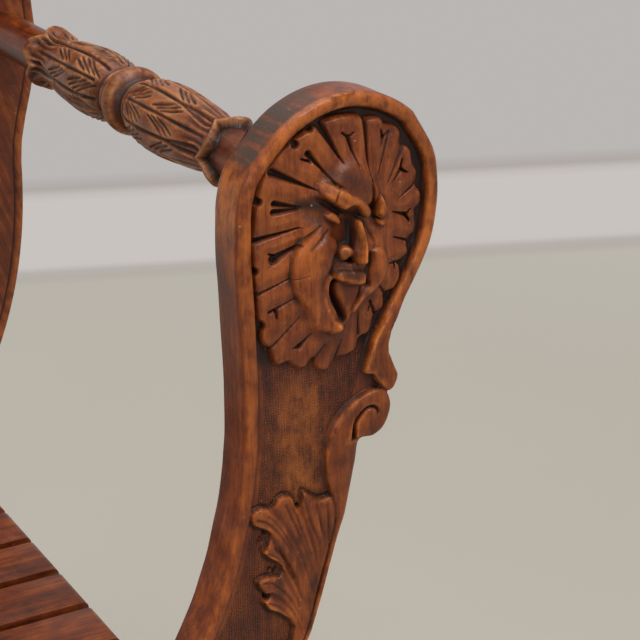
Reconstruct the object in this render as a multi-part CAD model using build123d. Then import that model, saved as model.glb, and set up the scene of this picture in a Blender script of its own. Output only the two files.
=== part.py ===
from build123d import *
from math import cos, radians, sin
import os

# Savonarola armchair: two interleaved frames of S-curved members cross on one iron rod.
# The right frame runs from the right arm down to the left runner, the left frame the other way.
# -Y is the front, Z starts at the floor, and right (+X) and left are those of someone facing the chair.
# All lengths are in millimetres.

# ---- the whole chair ----
outer_depth = 566.0  # front face of the front right board to the back face of its rear twin
pivot_height = 240.0  # rod centre above the floor
arm_reach = 290.0  # rod to the centre of an arm head, sideways
arm_rise = 505.0  # rod to the centre of an arm head, upwards
foot_reach = 226.0  # rod to the centre of a runner, sideways
part_gap = 0.4  # air between the two outer boards that pass each other

# ---- curved boards and slats ----
board_thickness = 30.0
board_width = 70.0
crossing_width = 78.0  # the boards swell where the rod goes through
ankle_width = 58.0  # board width where it meets the runner
band_top_rise = 392.0  # the plain band ends here, the arm head or the rear post goes on
band_top_inset = 26.0  # the band is that much nearer to the rod than the arm head
slat_thickness = 24.0
slat_width = 46.0
slat_crossing_width = 58.0
slat_count = 9  # between the boards, taken by the right and the left frame in turn

# ---- arm head, as a round carved boss on the front boards ----
head_radius = 65.0
rim_width = 7.5
head_pocket_depth = 8.0
arm_pocket_depth = 4.5
arm_pocket_start = 126.0  # the sunk ground of the arm begins that far above the rod
leaf_tip_radius = 9.0
leaf_tip_place = (28.5, -110.0)  # from the head centre
scroll_radius = 15.0
scroll_place = (18.5, -134.0)  # from the head centre
scroll_band = 4.0  # raised edge of the scroll
scroll_eye_radius = 5.0
scroll_relief = 2.5  # how deep the turn of the scroll is sunk
throat_reach = 31.5  # from the head centre out to the narrowest place above the leaf tip
throat_drop = 88.0
cheek_place = (43.0, -62.0)
jaw_place = (56.3, -37.0)
mask_half_width = 34.0
mask_half_height = 46.0
mask_drop = 8.0  # middle of the mask below the middle of the head
mask_rise = 14.0  # forehead and cheeks above the bottom of the pocket
nose_rise = 21.0  # tip of the nose above the bottom of the pocket
nose_half_width = 7.0
nose_half_height = 17.0
nose_drop = 5.0  # below the middle of the mask
chin_radius = 12.0
chin_drop = 36.0  # below the middle of the mask
brow_half_length = 15.0
brow_half_height = 9.0
brow_extra_rise = 3.0
brow_lift = 16.0  # above the middle of the mask
collar_radius = 52.0
collar_rise = 4.0
collar_lobes = 18
collar_lobe_radius = 9.0
collar_core_radius = 47.5

# ---- rear posts and the crest board that drops over them ----
post_width_at_rail = 54.0
post_width_at_top = 48.0
post_swell_drop = 20.0  # the post has its full width at the rail that far below the rail's middle
shoulder_rise = 545.0  # rod to the shoulder that the crest board rests on
tongue_width = 40.0
tongue_thickness = 8.5
tongue_height = 14.0
tongue_clearance = 0.4
tongue_top_room = 2.0
mortise_slide = 30.0  # extra length towards the middle, so the posts can start to swing
crest_thickness = 34.0
crest_half_length = 330.0
crest_end_height = 104.0
crest_height = 178.0
crest_border = 16.0
crest_corner = 10.0  # the lower corners are cut back by that much
crest_sink = 3.0
cartouche_radius = 44.0
cartouche_rise = 5.0

# ---- turned arm rails ----
spigot_radius = 10.0
spigot_length = 14.0
spigot_clearance = 0.05
neck_radius = 15.5
ring_radius = 24.0
ring_half_width = 8.0
ring_edge_radius = 18.0
ring_bulge = 1.8  # the ring's face falls that much towards its edges
cove_radius = 14.5
vase_start = 20.0
vase_foot_radius = 17.5
vase_shoulder = (23.5, 40.0)  # radius, and place along the rail
vase_radius = 24.5
vase_widest = 66.0
vase_waist_radius = 18.0
vase_waist = 138.0
lip_radius = 22.5
lip_place = 152.0
lip_fall = 1.0  # the step from the lip down to the neck leans that much

# ---- rod, rosettes and spacers ----
rod_radius = 6.0
rod_clearance = 0.06
rod_end = 7.0  # the rod stands that much out of the boards, inside the rosettes
rosette_radius = 27.0
rosette_height = 13.0
rosette_petals = 8
petal_thickness = 5.0
rosette_eye_rise = 3.0
spacer_radius = 18.0
spacer_play = 0.1  # air at each face of a spacer

# ---- runners and bearers ----
runner_width = 66.0
runner_height = 50.0
runner_overhang = 13.0  # past the outer boards, front and back
runner_nose_radius = 24.0
bearer_width = 60.0
bearer_thickness = 24.0
tenon_width = 26.0
tenon_thickness = 12.0
tenon_length = 14.0
tenon_clearance = 0.1
peg_radius = 4.5
peg_depth = 16.0  # into the end of a bearer
peg_spacing = 36.0
peg_end_inset = 4.0  # the pegs sit that much outside their spacing
peg_clearance = 0.05

# ---- seat ----
seat_height = 410.0
seat_slat_thickness = 16.0
seat_slat_count = 7
seat_depth = 376.0
seat_gap = 8.0
seat_nosing = 5.0
seat_overhang = 4.0  # the seat ends that much further out than its hinge, on the other side
hinge_overhang = 5.0  # hinge rod outside the left bearer
hinge_rod_radius = 4.0
hinge_rod_clearance = 0.06
lug_clearance = 0.4
end_lug_thickness = 10.0
batten_width = 36.0
batten_thickness = 18.0
batten_chamfer = 3.0
batten_clearance = 37.0  # the battens stay that far inside the bearers and the slats' ends
batten_margin = 8.0  # the battens stop short of the outer slats' edges

# ---- places that follow from the sizes above ----
half_depth = outer_depth / 2
outer_inner_face = half_depth - board_thickness  # inside face of the right frame's boards
inner_outer_face = outer_inner_face - part_gap
inner_inner_face = inner_outer_face - board_thickness  # inside face of the left frame's boards
slat_gap = (2 * inner_inner_face - slat_count * slat_thickness) / (slat_count + 1)
slat_pitch = slat_thickness + slat_gap
seat_underside = seat_height - seat_slat_thickness
bearer_bottom = seat_underside - bearer_thickness
bearer_middle = bearer_bottom + bearer_thickness / 2
hinge_height = seat_height - seat_slat_thickness / 2
head_height = pivot_height + arm_rise
shoulder_height = pivot_height + shoulder_rise
band_top = (arm_reach - band_top_inset, band_top_rise)
seat_slat_width = (seat_depth - (seat_slat_count - 1) * seat_gap) / seat_slat_count
seat_pitch = seat_slat_width + seat_gap

# The centre line of every curved member: it leaves the rod at a slant and ends upright.
slant = (0.61 * arm_reach, 0.255 * arm_rise)
shoulder_pull = (band_top[0], 0.446 * arm_rise)
upper_line = Bezier((0, 0), slant, shoulder_pull, band_top)
foot_drop = pivot_height - runner_height
ankle_slant = (-0.7 * slant[0], -0.7 * slant[1])
lower_line = Bezier((0, 0), ankle_slant, (-foot_reach, -0.5 * foot_drop), (-foot_reach, -foot_drop))
line_stations = 6
past_face = 1.0  # a cutter runs that far past a face


def line_x_at(line, height):
    """Where a centre line passes a given height above or below the rod."""
    low, high = 0.0, 1.0
    for _ in range(40):
        middle = (low + high) / 2
        if abs((line @ middle).Y) < abs(height):
            low = middle
        else:
            high = middle
    return (line @ low).X


bearer_x = line_x_at(upper_line, bearer_middle - pivot_height)
slat_top_x = line_x_at(upper_line, bearer_bottom - pivot_height) + slat_width / 4
runner_x = -foot_reach
hinge_reach = bearer_x + bearer_width / 2 + hinge_overhang
seat_right_end = hinge_reach + seat_overhang
batten_reach = bearer_x - bearer_width / 2 - batten_clearance - batten_width / 2


def edge_points(line, start_width, end_width, side):
    """Points beside a centre line, half the member's width away from it."""
    points = []
    for station in range(line_stations + 1):
        share = station / line_stations
        along = line % share
        half_width = (start_width + (end_width - start_width) * share) / 2
        points.append((line @ share) + Vector(-along.Y, along.X) * half_width * side)
    return points


def s_member(middle_width, top_width, bottom_width):
    """Outline of one S-curved member in the XZ plane, with the rod at its origin."""
    upper_left = edge_points(upper_line, middle_width, top_width, 1)
    upper_right = edge_points(upper_line, middle_width, top_width, -1)
    lower_left = edge_points(lower_line, middle_width, bottom_width, 1)
    lower_right = edge_points(lower_line, middle_width, bottom_width, -1)
    # Below the rod the line runs the other way, so its left edge carries on the upper right one.
    outer = lower_left[:0:-1] + [(upper_right[0] + lower_left[0]) / 2] + upper_right[1:]
    inner = lower_right[:0:-1] + [(upper_left[0] + lower_right[0]) / 2] + upper_left[1:]
    outer_edge = Spline(*outer)
    inner_edge = Spline(*inner)
    return make_face([outer_edge, inner_edge, Line(outer[0], inner[0]), Line(outer[-1], inner[-1])])


def place_profile(profile, y_back):
    """Stands a profile drawn about the rod upright at the given depth."""
    return Plane.XZ.offset(-y_back) * Pos(0, pivot_height) * profile


def plate(profile, y_front, y_back):
    """A flat member between two depths, cut from a profile drawn about the rod."""
    return extrude(place_profile(profile, y_back), amount=y_back - y_front)


def mirrored(solid):
    """The same piece on the other frame."""
    return mirror(solid, about=Plane.YZ)


def cylinder_along_y(radius, y_front, y_back, x=0.0, z=0.0):
    length = y_back - y_front
    return Pos(x, (y_front + y_back) / 2, z) * Rot(90, 0, 0) * Cylinder(radius, length)


def rod_hole(y_front, y_back):
    hole_radius = rod_radius + rod_clearance
    return cylinder_along_y(hole_radius, y_front - past_face, y_back + past_face, 0, pivot_height)


# ---- front boards with their carved heads ----
def neck_outline(inset):
    """The waist from the round head down to the scroll, wider than the plain band on one side."""
    left = band_top[0] - board_width / 2 + inset
    low = arm_rise + scroll_place[1]
    high = arm_rise
    side = arm_reach - head_radius + inset
    far_side = arm_reach + head_radius - inset
    right = arm_reach + throat_reach - inset
    jaw = (arm_reach + jaw_place[0] - inset, high + jaw_place[1])
    cheek = (arm_reach + cheek_place[0] - inset, high + cheek_place[1])
    throat = (right, high - throat_drop)
    inner = Spline((left, low), (left, band_top_rise), (side, high), tangents=[(0, 1), (0, 1)])
    outer = Spline((far_side, high), jaw, cheek, throat, tangents=[(0, -1), (0, -1)])
    return make_face([inner, Line((side, high), (far_side, high)), outer,
                      Line(throat, (right, low)), Line((right, low), (left, low))])


def at_head(offset, shape):
    return Pos(arm_reach + offset[0], arm_rise + offset[1]) * shape


def front_outline():
    outline = s_member(crossing_width, board_width, ankle_width) + neck_outline(0)
    outline += at_head((0, 0), Circle(head_radius))
    outline += at_head(leaf_tip_place, Circle(leaf_tip_radius))
    outline += at_head(scroll_place, Circle(scroll_radius))
    return outline


def collar_outline():
    """A ring of rounded leaves round the mask."""
    outline = Circle(collar_core_radius)
    for lobe in range(collar_lobes):
        turn = radians(360 * (lobe + 0.5) / collar_lobes)
        reach = collar_radius - collar_lobe_radius
        outline += Pos(reach * cos(turn), reach * sin(turn)) * Circle(collar_lobe_radius)
    return outline


def mask(y_floor):
    """A calm, full face in the round: head, brow, nose and chin as plain swelling forms."""
    centre_z = head_height - mask_drop
    head = scale(Sphere(1), by=(mask_half_width, mask_rise, mask_half_height))
    nose = scale(Sphere(1), by=(nose_half_width, nose_rise, nose_half_height))
    nose = Pos(0, 0, -nose_drop) * nose
    chin = scale(Sphere(1), by=(chin_radius, mask_rise, chin_radius))
    chin = Pos(0, 0, -chin_drop) * chin
    face = head + nose + chin
    for side in (-1, 1):
        brow = scale(Sphere(1), by=(brow_half_length, mask_rise + brow_extra_rise, brow_half_height))
        face += Pos(side * brow_half_length, 0, brow_lift) * brow
    return Pos(arm_reach, y_floor, centre_z) * face


def front_board(y_front):
    y_back = y_front + board_thickness
    board = plate(front_outline(), y_front, y_back)
    head_floor = y_front + head_pocket_depth
    pocket = at_head((0, 0), Circle(head_radius - rim_width)) + neck_outline(rim_width)
    board -= plate(pocket, y_front - past_face, head_floor)
    rims = 2 * rim_width
    arm_pocket = s_member(crossing_width - rims, board_width - rims, ankle_width - rims)
    above_seat = Pos(arm_reach / 2, (band_top_rise + arm_pocket_start) / 2)
    above_seat *= Rectangle(2 * arm_reach, band_top_rise - arm_pocket_start)
    board -= plate(arm_pocket & above_seat, y_front - past_face, y_front + arm_pocket_depth)
    scroll_turn = at_head(scroll_place, Circle(scroll_radius - scroll_band) - Circle(scroll_eye_radius))
    board -= plate(scroll_turn, y_front - past_face, y_front + scroll_relief)
    board += plate(at_head((0, 0), collar_outline()), head_floor - collar_rise, head_floor)
    face_box = Box(2 * head_radius, 2 * nose_rise, 2 * head_radius)
    face_box = Pos(arm_reach, head_floor - nose_rise, head_height) * face_box
    board += mask(head_floor) & face_box
    board -= rail_socket(y_back, -1)
    board -= bearer_mortise(y_back, -1)
    board -= peg_holes(y_front, y_back)
    board -= rod_hole(y_front, y_back)
    return board + foot_tenon((y_front + y_back) / 2)


# ---- rear boards, which rise as posts ----
def post_outline():
    left = band_top[0] - board_width / 2
    right = band_top[0] + board_width / 2
    at_rail = post_width_at_rail / 2
    at_top = post_width_at_top / 2
    inner = Spline((left, band_top_rise), (arm_reach - at_rail, arm_rise - post_swell_drop),
                   (arm_reach - at_top, shoulder_rise), tangents=[(0, 1), (0, 1)])
    outer = Spline((right, band_top_rise), (arm_reach + at_rail, arm_rise - post_swell_drop),
                   (arm_reach + at_top, shoulder_rise), tangents=[(0, 1), (0, 1)])
    return make_face([inner, Line((arm_reach - at_top, shoulder_rise), (arm_reach + at_top, shoulder_rise)),
                      outer, Line((right, band_top_rise), (left, band_top_rise))])


def rear_board(y_front, tongue_front, tongue_back):
    y_back = y_front + board_thickness
    board = plate(s_member(crossing_width, board_width, ankle_width) + post_outline(), y_front, y_back)
    tongue = Pos(arm_reach, shoulder_rise + tongue_height / 2) * Rectangle(tongue_width, tongue_height)
    board += plate(tongue, tongue_front, tongue_back)
    board -= rail_socket(y_front, 1)
    board -= bearer_mortise(y_front, 1)
    board -= peg_holes(y_front, y_back)
    board -= rod_hole(y_front, y_back)
    return board + foot_tenon((y_front + y_back) / 2)


# ---- joints that the boards, slats, bearers and runners share ----
def foot_tenon(y_middle):
    """Tongue under a member's foot, let into the top of the runner."""
    box = Box(tenon_width, tenon_thickness, tenon_length)
    return Pos(runner_x, y_middle, runner_height - tenon_length / 2) * box


def foot_mortise(y_middle):
    slack = 2 * tenon_clearance
    box = Box(tenon_width + slack, tenon_thickness + slack, tenon_length + slack)
    return Pos(runner_x, y_middle, runner_height - tenon_length / 2) * box


def top_tenon(y_middle):
    """Tongue over a slat's upper end, let into the underside of the bearer."""
    box = Box(tenon_width / 2, tenon_thickness, tenon_length)
    return Pos(slat_top_x, y_middle, bearer_bottom + tenon_length / 2) * box


def top_mortise(y_middle):
    slack = 2 * tenon_clearance
    box = Box(tenon_width / 2 + slack, tenon_thickness + slack, tenon_length + slack)
    return Pos(slat_top_x, y_middle, bearer_bottom + tenon_length / 2) * box


def bearer_tenon(y_face, outwards):
    box = Box(bearer_width / 2, tenon_length, tenon_thickness)
    return Pos(bearer_x, y_face + outwards * tenon_length / 2, bearer_middle) * box


def bearer_mortise(y_face, outwards):
    slack = 2 * tenon_clearance
    box = Box(bearer_width / 2 + slack, tenon_length + slack, tenon_thickness + slack)
    return Pos(bearer_x, y_face + outwards * tenon_length / 2, bearer_middle) * box


def peg_places():
    reach = peg_spacing / 2 + peg_end_inset
    return [bearer_x - reach, bearer_x + reach]


def peg_holes(y_front, y_back):
    holes = Part()
    hole_radius = peg_radius + peg_clearance
    for x in peg_places():
        holes += cylinder_along_y(hole_radius, y_front - past_face, y_back + past_face, x, bearer_middle)
    return holes


def rail_socket(y_face, outwards):
    depth = spigot_length + tenon_clearance
    y_end = y_face + outwards * depth
    return cylinder_along_y(spigot_radius + spigot_clearance, min(y_face, y_end), max(y_face, y_end),
                            arm_reach, head_height)


# ---- plain slats between the boards ----
def slat_depths():
    first = -inner_inner_face + slat_gap + slat_thickness / 2
    return [first + slat_pitch * index for index in range(slat_count)]


def leg_slat(y_middle):
    y_front = y_middle - slat_thickness / 2
    y_back = y_middle + slat_thickness / 2
    slat = plate(s_member(slat_crossing_width, slat_width, slat_width), y_front, y_back)
    span = bearer_bottom - runner_height
    slat &= Pos(0, y_middle, runner_height + span / 2) * Box(3 * arm_reach, slat_thickness, span)
    slat -= rod_hole(y_front, y_back)
    return slat + foot_tenon(y_middle) + top_tenon(y_middle)


# ---- runners ----
def runner(y_middles):
    half_length = half_depth + runner_overhang
    side = Rectangle(2 * half_length, runner_height)
    block = extrude(Plane.YZ.offset(-runner_width / 2) * side, amount=runner_width)
    top_ends = block.edges().filter_by(Axis.X).group_by(Axis.Z)[-1]
    block = fillet(top_ends, runner_nose_radius)
    low_ends = block.edges().filter_by(Axis.X).group_by(Axis.Z)[0]
    block = fillet(low_ends, runner_nose_radius / 3)
    block = Pos(runner_x, 0, runner_height / 2) * block
    for y_middle in y_middles:
        block -= foot_mortise(y_middle)
    return block


# ---- seat bearers ----
def plain_bearer(half_length, y_middles):
    bar = Box(bearer_width, 2 * half_length, bearer_thickness)
    bar = Pos(bearer_x, 0, bearer_middle) * bar
    for outwards in (-1, 1):
        bar += bearer_tenon(outwards * half_length, outwards)
        for x in peg_places():
            y_end = outwards * (half_length - peg_depth)
            y_face = outwards * (half_length + past_face)
            y_low, y_high = min(y_end, y_face), max(y_end, y_face)
            bar -= cylinder_along_y(peg_radius + peg_clearance, y_low, y_high, x, bearer_middle)
    for y_middle in y_middles:
        bar -= top_mortise(y_middle)
    return bar


def lug(y_middle, thickness):
    """An ear on the left bearer that holds the seat's hinge rod."""
    root_width = hinge_reach - bearer_x - bearer_width / 2
    root = Pos(hinge_reach - root_width, y_middle, hinge_height - seat_slat_thickness / 4)
    root *= Box(2 * root_width, thickness, seat_slat_thickness / 2)
    low_root = Pos(hinge_reach - root_width / 2, y_middle, (bearer_bottom + hinge_height) / 2)
    low_root *= Box(root_width, thickness, hinge_height - bearer_bottom)
    eye = cylinder_along_y(seat_slat_thickness / 2, y_middle - thickness / 2, y_middle + thickness / 2,
                           hinge_reach, hinge_height)
    return root + low_root + eye


def lug_places():
    places = []
    for index in range(seat_slat_count - 1):
        y_middle = -seat_depth / 2 + seat_slat_width + seat_gap / 2 + index * seat_pitch
        places.append((y_middle, seat_gap - 2 * lug_clearance))
    for side in (-1, 1):
        y_middle = side * (seat_depth / 2 + lug_clearance + end_lug_thickness / 2)
        places.append((y_middle, end_lug_thickness))
    return places


def hinge_bearer(half_length, y_middles):
    bar = plain_bearer(half_length, y_middles)
    for y_middle, thickness in lug_places():
        bar += lug(y_middle, thickness)
    hole_end = seat_depth / 2 + 2 * end_lug_thickness
    hole_radius = hinge_rod_radius + hinge_rod_clearance
    bar -= cylinder_along_y(hole_radius, -hole_end, hole_end, hinge_reach, hinge_height)
    return mirrored(bar)


def pegs(y_front, bearer_end):
    group = Part()
    for outwards in (-1, 1):
        y_outside = outwards * y_front
        y_inside = outwards * (bearer_end - peg_depth)
        y_low, y_high = min(y_outside, y_inside), max(y_outside, y_inside)
        for x in peg_places():
            group += cylinder_along_y(peg_radius, y_low, y_high, x, bearer_middle)
    return group


# ---- turned arm rails ----
def rail_half(half_length):
    """Half of a turned rail along Y: half the centre ring, a leaf vase and a plain neck with its spigot."""
    ring_edge = (ring_edge_radius, ring_half_width)
    cove = (cove_radius, (ring_half_width + vase_start) / 2)
    vase_foot = (vase_foot_radius, vase_start)
    fullest = (vase_radius, vase_widest)
    waist = (vase_waist_radius, vase_waist)
    lip = (lip_radius, lip_place)
    taper = ((vase_radius + vase_waist_radius) / 2 + lip_fall, (vase_widest + vase_waist) / 2)
    throat = ((vase_waist_radius + lip_radius) / 2 - lip_fall, (vase_waist + lip_place) / 2 + lip_fall)
    neck = (neck_radius + lip_fall, lip_place + lip_fall)
    tip = half_length + spigot_length
    outline = [ThreePointArc((ring_radius, 0), (ring_radius - ring_bulge, 0.6 * ring_half_width), ring_edge),
               ThreePointArc(ring_edge, cove, vase_foot),
               ThreePointArc(vase_foot, vase_shoulder, fullest),
               ThreePointArc(fullest, taper, waist),
               ThreePointArc(waist, throat, lip),
               Line(lip, neck),
               Line(neck, (neck_radius, half_length)),
               Line((neck_radius, half_length), (spigot_radius, half_length)),
               Line((spigot_radius, half_length), (spigot_radius, tip)),
               Line((spigot_radius, tip), (0, tip)),
               Line((0, tip), (0, 0)),
               Line((0, 0), (ring_radius, 0))]
    return revolve(make_face(outline), Axis.Y, 360)


def arm_rail(half_length):
    """One turned rail from the carved head to the rear post, the same at both ends."""
    half = rail_half(half_length)
    return Pos(arm_reach, 0, head_height) * (half + mirror(half, about=Plane.XZ))


# ---- crest board ----
def crest_outline(inset):
    """A long board with round ears that rises in a low arch to its middle."""
    half = crest_half_length - inset
    low = inset
    end = crest_end_height - inset
    top = crest_height - inset
    ear_low = (half, 0.3 * end)
    ear_top = (0.82 * half, end)
    dip = (0.6 * half, 0.88 * end)
    ear = ThreePointArc(ear_low, (0.95 * half, 0.84 * end), ear_top)
    hollow = ThreePointArc(ear_top, (0.7 * half, 0.9 * end), dip)
    arch = ThreePointArc(dip, (0.32 * half, 0.9 * top), (0, top))
    corner = (half - crest_corner, low)
    middle = Line((0, top), (0, low))
    half_face = make_face([ear, hollow, arch, middle, Line((0, low), corner), Line(corner, ear_low)])
    return half_face + mirror(half_face, about=Plane.YZ)


def crest_board():
    y_middle = (outer_inner_face + inner_outer_face) / 2
    y_front = y_middle - crest_thickness / 2
    y_back = y_middle + crest_thickness / 2
    lift = Pos(0, shoulder_rise)
    board = plate(lift * crest_outline(0), y_front, y_back)
    board -= plate(lift * crest_outline(crest_border), y_front - past_face, y_front + crest_sink)
    middle = Pos(0, 0.55 * crest_height) * Ellipse(1.5 * cartouche_radius, cartouche_radius)
    raised = crest_sink + cartouche_rise
    board += plate(lift * middle, y_front + crest_sink - raised, y_front + crest_sink)
    slot_length = tongue_width + mortise_slide
    slot_height = tongue_height + tongue_top_room
    slot_x = arm_reach + tongue_width / 2 + tongue_clearance - slot_length / 2
    slot = Box(slot_length, 2 * tongue_thickness + part_gap + 2 * tongue_clearance, slot_height)
    for side in (-1, 1):
        board -= Pos(side * slot_x, y_middle, shoulder_height + slot_height / 2) * slot
    return board


# ---- rod, rosettes and spacers ----
def rosette():
    """A carved boss like a daisy that hides the end of the rod, facing -Y."""
    petal_radius = 0.3 * rosette_radius
    outline = Circle(0.8 * rosette_radius)
    for petal in range(rosette_petals):
        turn = Rot(0, 0, 360 * petal / rosette_petals)
        outline += turn * Pos(rosette_radius - petal_radius, 0) * Circle(petal_radius)
    body = extrude(outline, amount=petal_thickness)
    standing = (Align.CENTER, Align.CENTER, Align.MIN)
    cone_height = rosette_height - rosette_eye_rise
    body += Cone(0.72 * rosette_radius, 0.42 * rosette_radius, cone_height, align=standing)
    body += Cylinder(0.3 * rosette_radius, rosette_height, align=standing)
    body -= Pos(0, 0, rod_end / 2) * Cylinder(rod_radius + tenon_clearance, rod_end)
    return Pos(0, -half_depth, pivot_height) * Rot(90, 0, 0) * body


def pivot_spacers():
    group = Part()
    for index in range(slat_count + 1):
        y_start = -inner_inner_face + index * slat_pitch
        disc = cylinder_along_y(spacer_radius, y_start + spacer_play, y_start + slat_gap - spacer_play,
                                0, pivot_height)
        group += disc - rod_hole(y_start, y_start + slat_gap)
    return group


# ---- seat ----
def seat_slat(index):
    length = seat_right_end + hinge_reach
    bar = Pos((seat_right_end - hinge_reach) / 2, 0, hinge_height)
    bar *= Box(length, seat_slat_width, seat_slat_thickness)
    right_edges = bar.edges().filter_by(Axis.Y).group_by(Axis.X)[-1]
    bar = fillet(right_edges, seat_nosing)
    bar += cylinder_along_y(seat_slat_thickness / 2, -seat_slat_width / 2, seat_slat_width / 2,
                            -hinge_reach, hinge_height)
    bar -= cylinder_along_y(hinge_rod_radius + hinge_rod_clearance, -seat_slat_width, seat_slat_width,
                            -hinge_reach, hinge_height)
    y_middle = -seat_depth / 2 + seat_slat_width / 2 + index * seat_pitch
    return Pos(0, y_middle, 0) * bar


def seat_batten(side):
    bar = Box(batten_width, seat_depth - 2 * batten_margin, batten_thickness)
    bar = chamfer(bar.edges().group_by(Axis.Z)[0], batten_chamfer)
    return Pos(side * batten_reach, 0, seat_underside - batten_thickness / 2) * bar


def seat_hinge_rod():
    end = seat_depth / 2 + lug_clearance + end_lug_thickness
    return cylinder_along_y(hinge_rod_radius, -end, end, -hinge_reach, hinge_height)


# ---- the chair, piece by piece ----
def chair():
    pieces = {}
    right_depths = slat_depths()[0::2]
    left_depths = slat_depths()[1::2]
    outer_middle = half_depth - board_thickness / 2
    inner_middle = inner_outer_face - board_thickness / 2
    pieces["front_board_right"] = front_board(-half_depth)
    pieces["front_board_left"] = mirrored(front_board(-inner_outer_face))
    rear_right = rear_board(outer_inner_face, outer_inner_face, outer_inner_face + tongue_thickness)
    rear_left = rear_board(inner_inner_face, inner_outer_face - tongue_thickness, inner_outer_face)
    pieces["rear_board_right"] = rear_right
    pieces["rear_board_left"] = mirrored(rear_left)
    for number, y_middle in enumerate(right_depths, 1):
        pieces[f"leg_slat_right_{number}"] = leg_slat(y_middle)
    for number, y_middle in enumerate(left_depths, 1):
        pieces[f"leg_slat_left_{number}"] = mirrored(leg_slat(y_middle))
    pieces["runner_left"] = runner([-outer_middle, *right_depths, outer_middle])
    pieces["runner_right"] = mirrored(runner([-inner_middle, *left_depths, inner_middle]))
    pieces["seat_bearer_right"] = plain_bearer(outer_inner_face, right_depths)
    pieces["seat_bearer_left"] = hinge_bearer(inner_inner_face, left_depths)
    pieces["bearer_pegs_right"] = pegs(half_depth, outer_inner_face)
    pieces["bearer_pegs_left"] = mirrored(pegs(inner_outer_face, inner_inner_face))
    pieces["arm_rail_right"] = arm_rail(outer_inner_face)
    pieces["arm_rail_left"] = mirrored(arm_rail(inner_inner_face))
    pieces["crest_board"] = crest_board()
    rod_reach = half_depth + rod_end
    pieces["pivot_rod"] = cylinder_along_y(rod_radius, -rod_reach, rod_reach, 0, pivot_height)
    pieces["rosette_boss_front"] = rosette()
    pieces["rosette_boss_rear"] = mirror(rosette(), about=Plane.XZ)
    pieces["pivot_spacers"] = pivot_spacers()
    for index in range(seat_slat_count):
        pieces[f"seat_slat_{index + 1}"] = seat_slat(index)
    pieces["seat_batten_left"] = seat_batten(-1)
    pieces["seat_batten_right"] = seat_batten(1)
    pieces["seat_hinge_rod"] = seat_hinge_rod()
    return pieces


os.makedirs("parts", exist_ok=True)
for name, solid in chair().items():
    export_step(solid, f"parts/{name}.step")
    print(name, round(solid.volume))
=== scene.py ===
# Savonarola chair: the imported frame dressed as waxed, carved and turned walnut.
import math
import bmesh
import bpy
import numpy as np
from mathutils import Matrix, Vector


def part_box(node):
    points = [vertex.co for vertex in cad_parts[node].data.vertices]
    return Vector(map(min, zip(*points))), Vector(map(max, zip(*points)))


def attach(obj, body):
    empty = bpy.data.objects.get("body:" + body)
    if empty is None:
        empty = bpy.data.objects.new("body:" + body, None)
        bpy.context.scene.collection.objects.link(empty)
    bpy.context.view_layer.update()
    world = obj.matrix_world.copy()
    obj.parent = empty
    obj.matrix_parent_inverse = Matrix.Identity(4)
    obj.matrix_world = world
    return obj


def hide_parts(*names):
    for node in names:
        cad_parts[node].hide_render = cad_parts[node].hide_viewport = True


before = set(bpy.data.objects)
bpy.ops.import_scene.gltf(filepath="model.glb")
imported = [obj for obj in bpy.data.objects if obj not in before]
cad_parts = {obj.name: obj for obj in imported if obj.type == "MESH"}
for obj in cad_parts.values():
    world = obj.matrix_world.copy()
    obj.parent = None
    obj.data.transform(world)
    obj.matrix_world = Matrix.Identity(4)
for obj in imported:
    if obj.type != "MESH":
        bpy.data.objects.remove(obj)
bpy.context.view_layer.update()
print("frame loaded:", len(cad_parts), "nodes")

# Sizes that the carving shares with the frame, in millimetres.
chair = {
    "headCentre": (290.0, 745.0),  # x and z of the right arm's head
    "headRadius": 65.0,
    "pivotHeight": 240.0,
    "front": {"right": -283.0, "left": -252.6},  # front plane of each frame's carved board
    "boardThickness": 30.0,
}
headX, headZ = chair["headCentre"]
pivotToHead = (headX, headZ - chair["pivotHeight"])


def insideFace(side):
    # from the middle of the chair to the inner faces of a frame's boards: front plane less the thickness
    return -chair["front"][side] - chair["boardThickness"]


# small tools for shapes
def smoothStep(low, high, value):
    # 0 below low, 1 above high, 3t^2 - 2t^3 between
    t = np.clip((value - low) / (high - low), 0, 1)
    return t * t * (3 - 2 * t)


def graphAt(pairs, value):
    # straight-line values between (place, value) pairs
    places, values = np.asarray(pairs, float).T
    return np.interp(value, places, values)


def curveAt(points, s):
    # Catmull-Rom curve through the points, at the point numbers s
    pts = np.asarray(points, float)
    ends = np.vstack([2 * pts[0] - pts[1], pts, 2 * pts[-1] - pts[-2]])
    i = np.clip(np.asarray(s).astype(int), 0, len(pts) - 2)
    f = (np.asarray(s) - i)[:, None]
    a, b, c, d = ends[i], ends[i + 1], ends[i + 2], ends[i + 3]
    return 0.5 * (2 * b + (c - a) * f + (2 * a - 5 * b + 4 * c - d) * f**2 + (3 * b - a - 3 * c + d) * f**3)


def evenCurve(points, count, closed=False):
    # the Catmull-Rom curve through the points, stepped evenly by its own length
    pts = np.asarray(points, float)
    if closed:
        pts = np.vstack([pts, pts[:1]])
    fine = curveAt(pts, np.linspace(0, len(pts) - 1, 40 * len(pts)))
    run = np.concatenate([[0], np.cumsum(np.hypot(*np.diff(fine, axis=0).T))])
    want = np.linspace(0, run[-1], count)
    return np.stack([np.interp(want, run, fine[:, 0]), np.interp(want, run, fine[:, 1])], 1)


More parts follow.
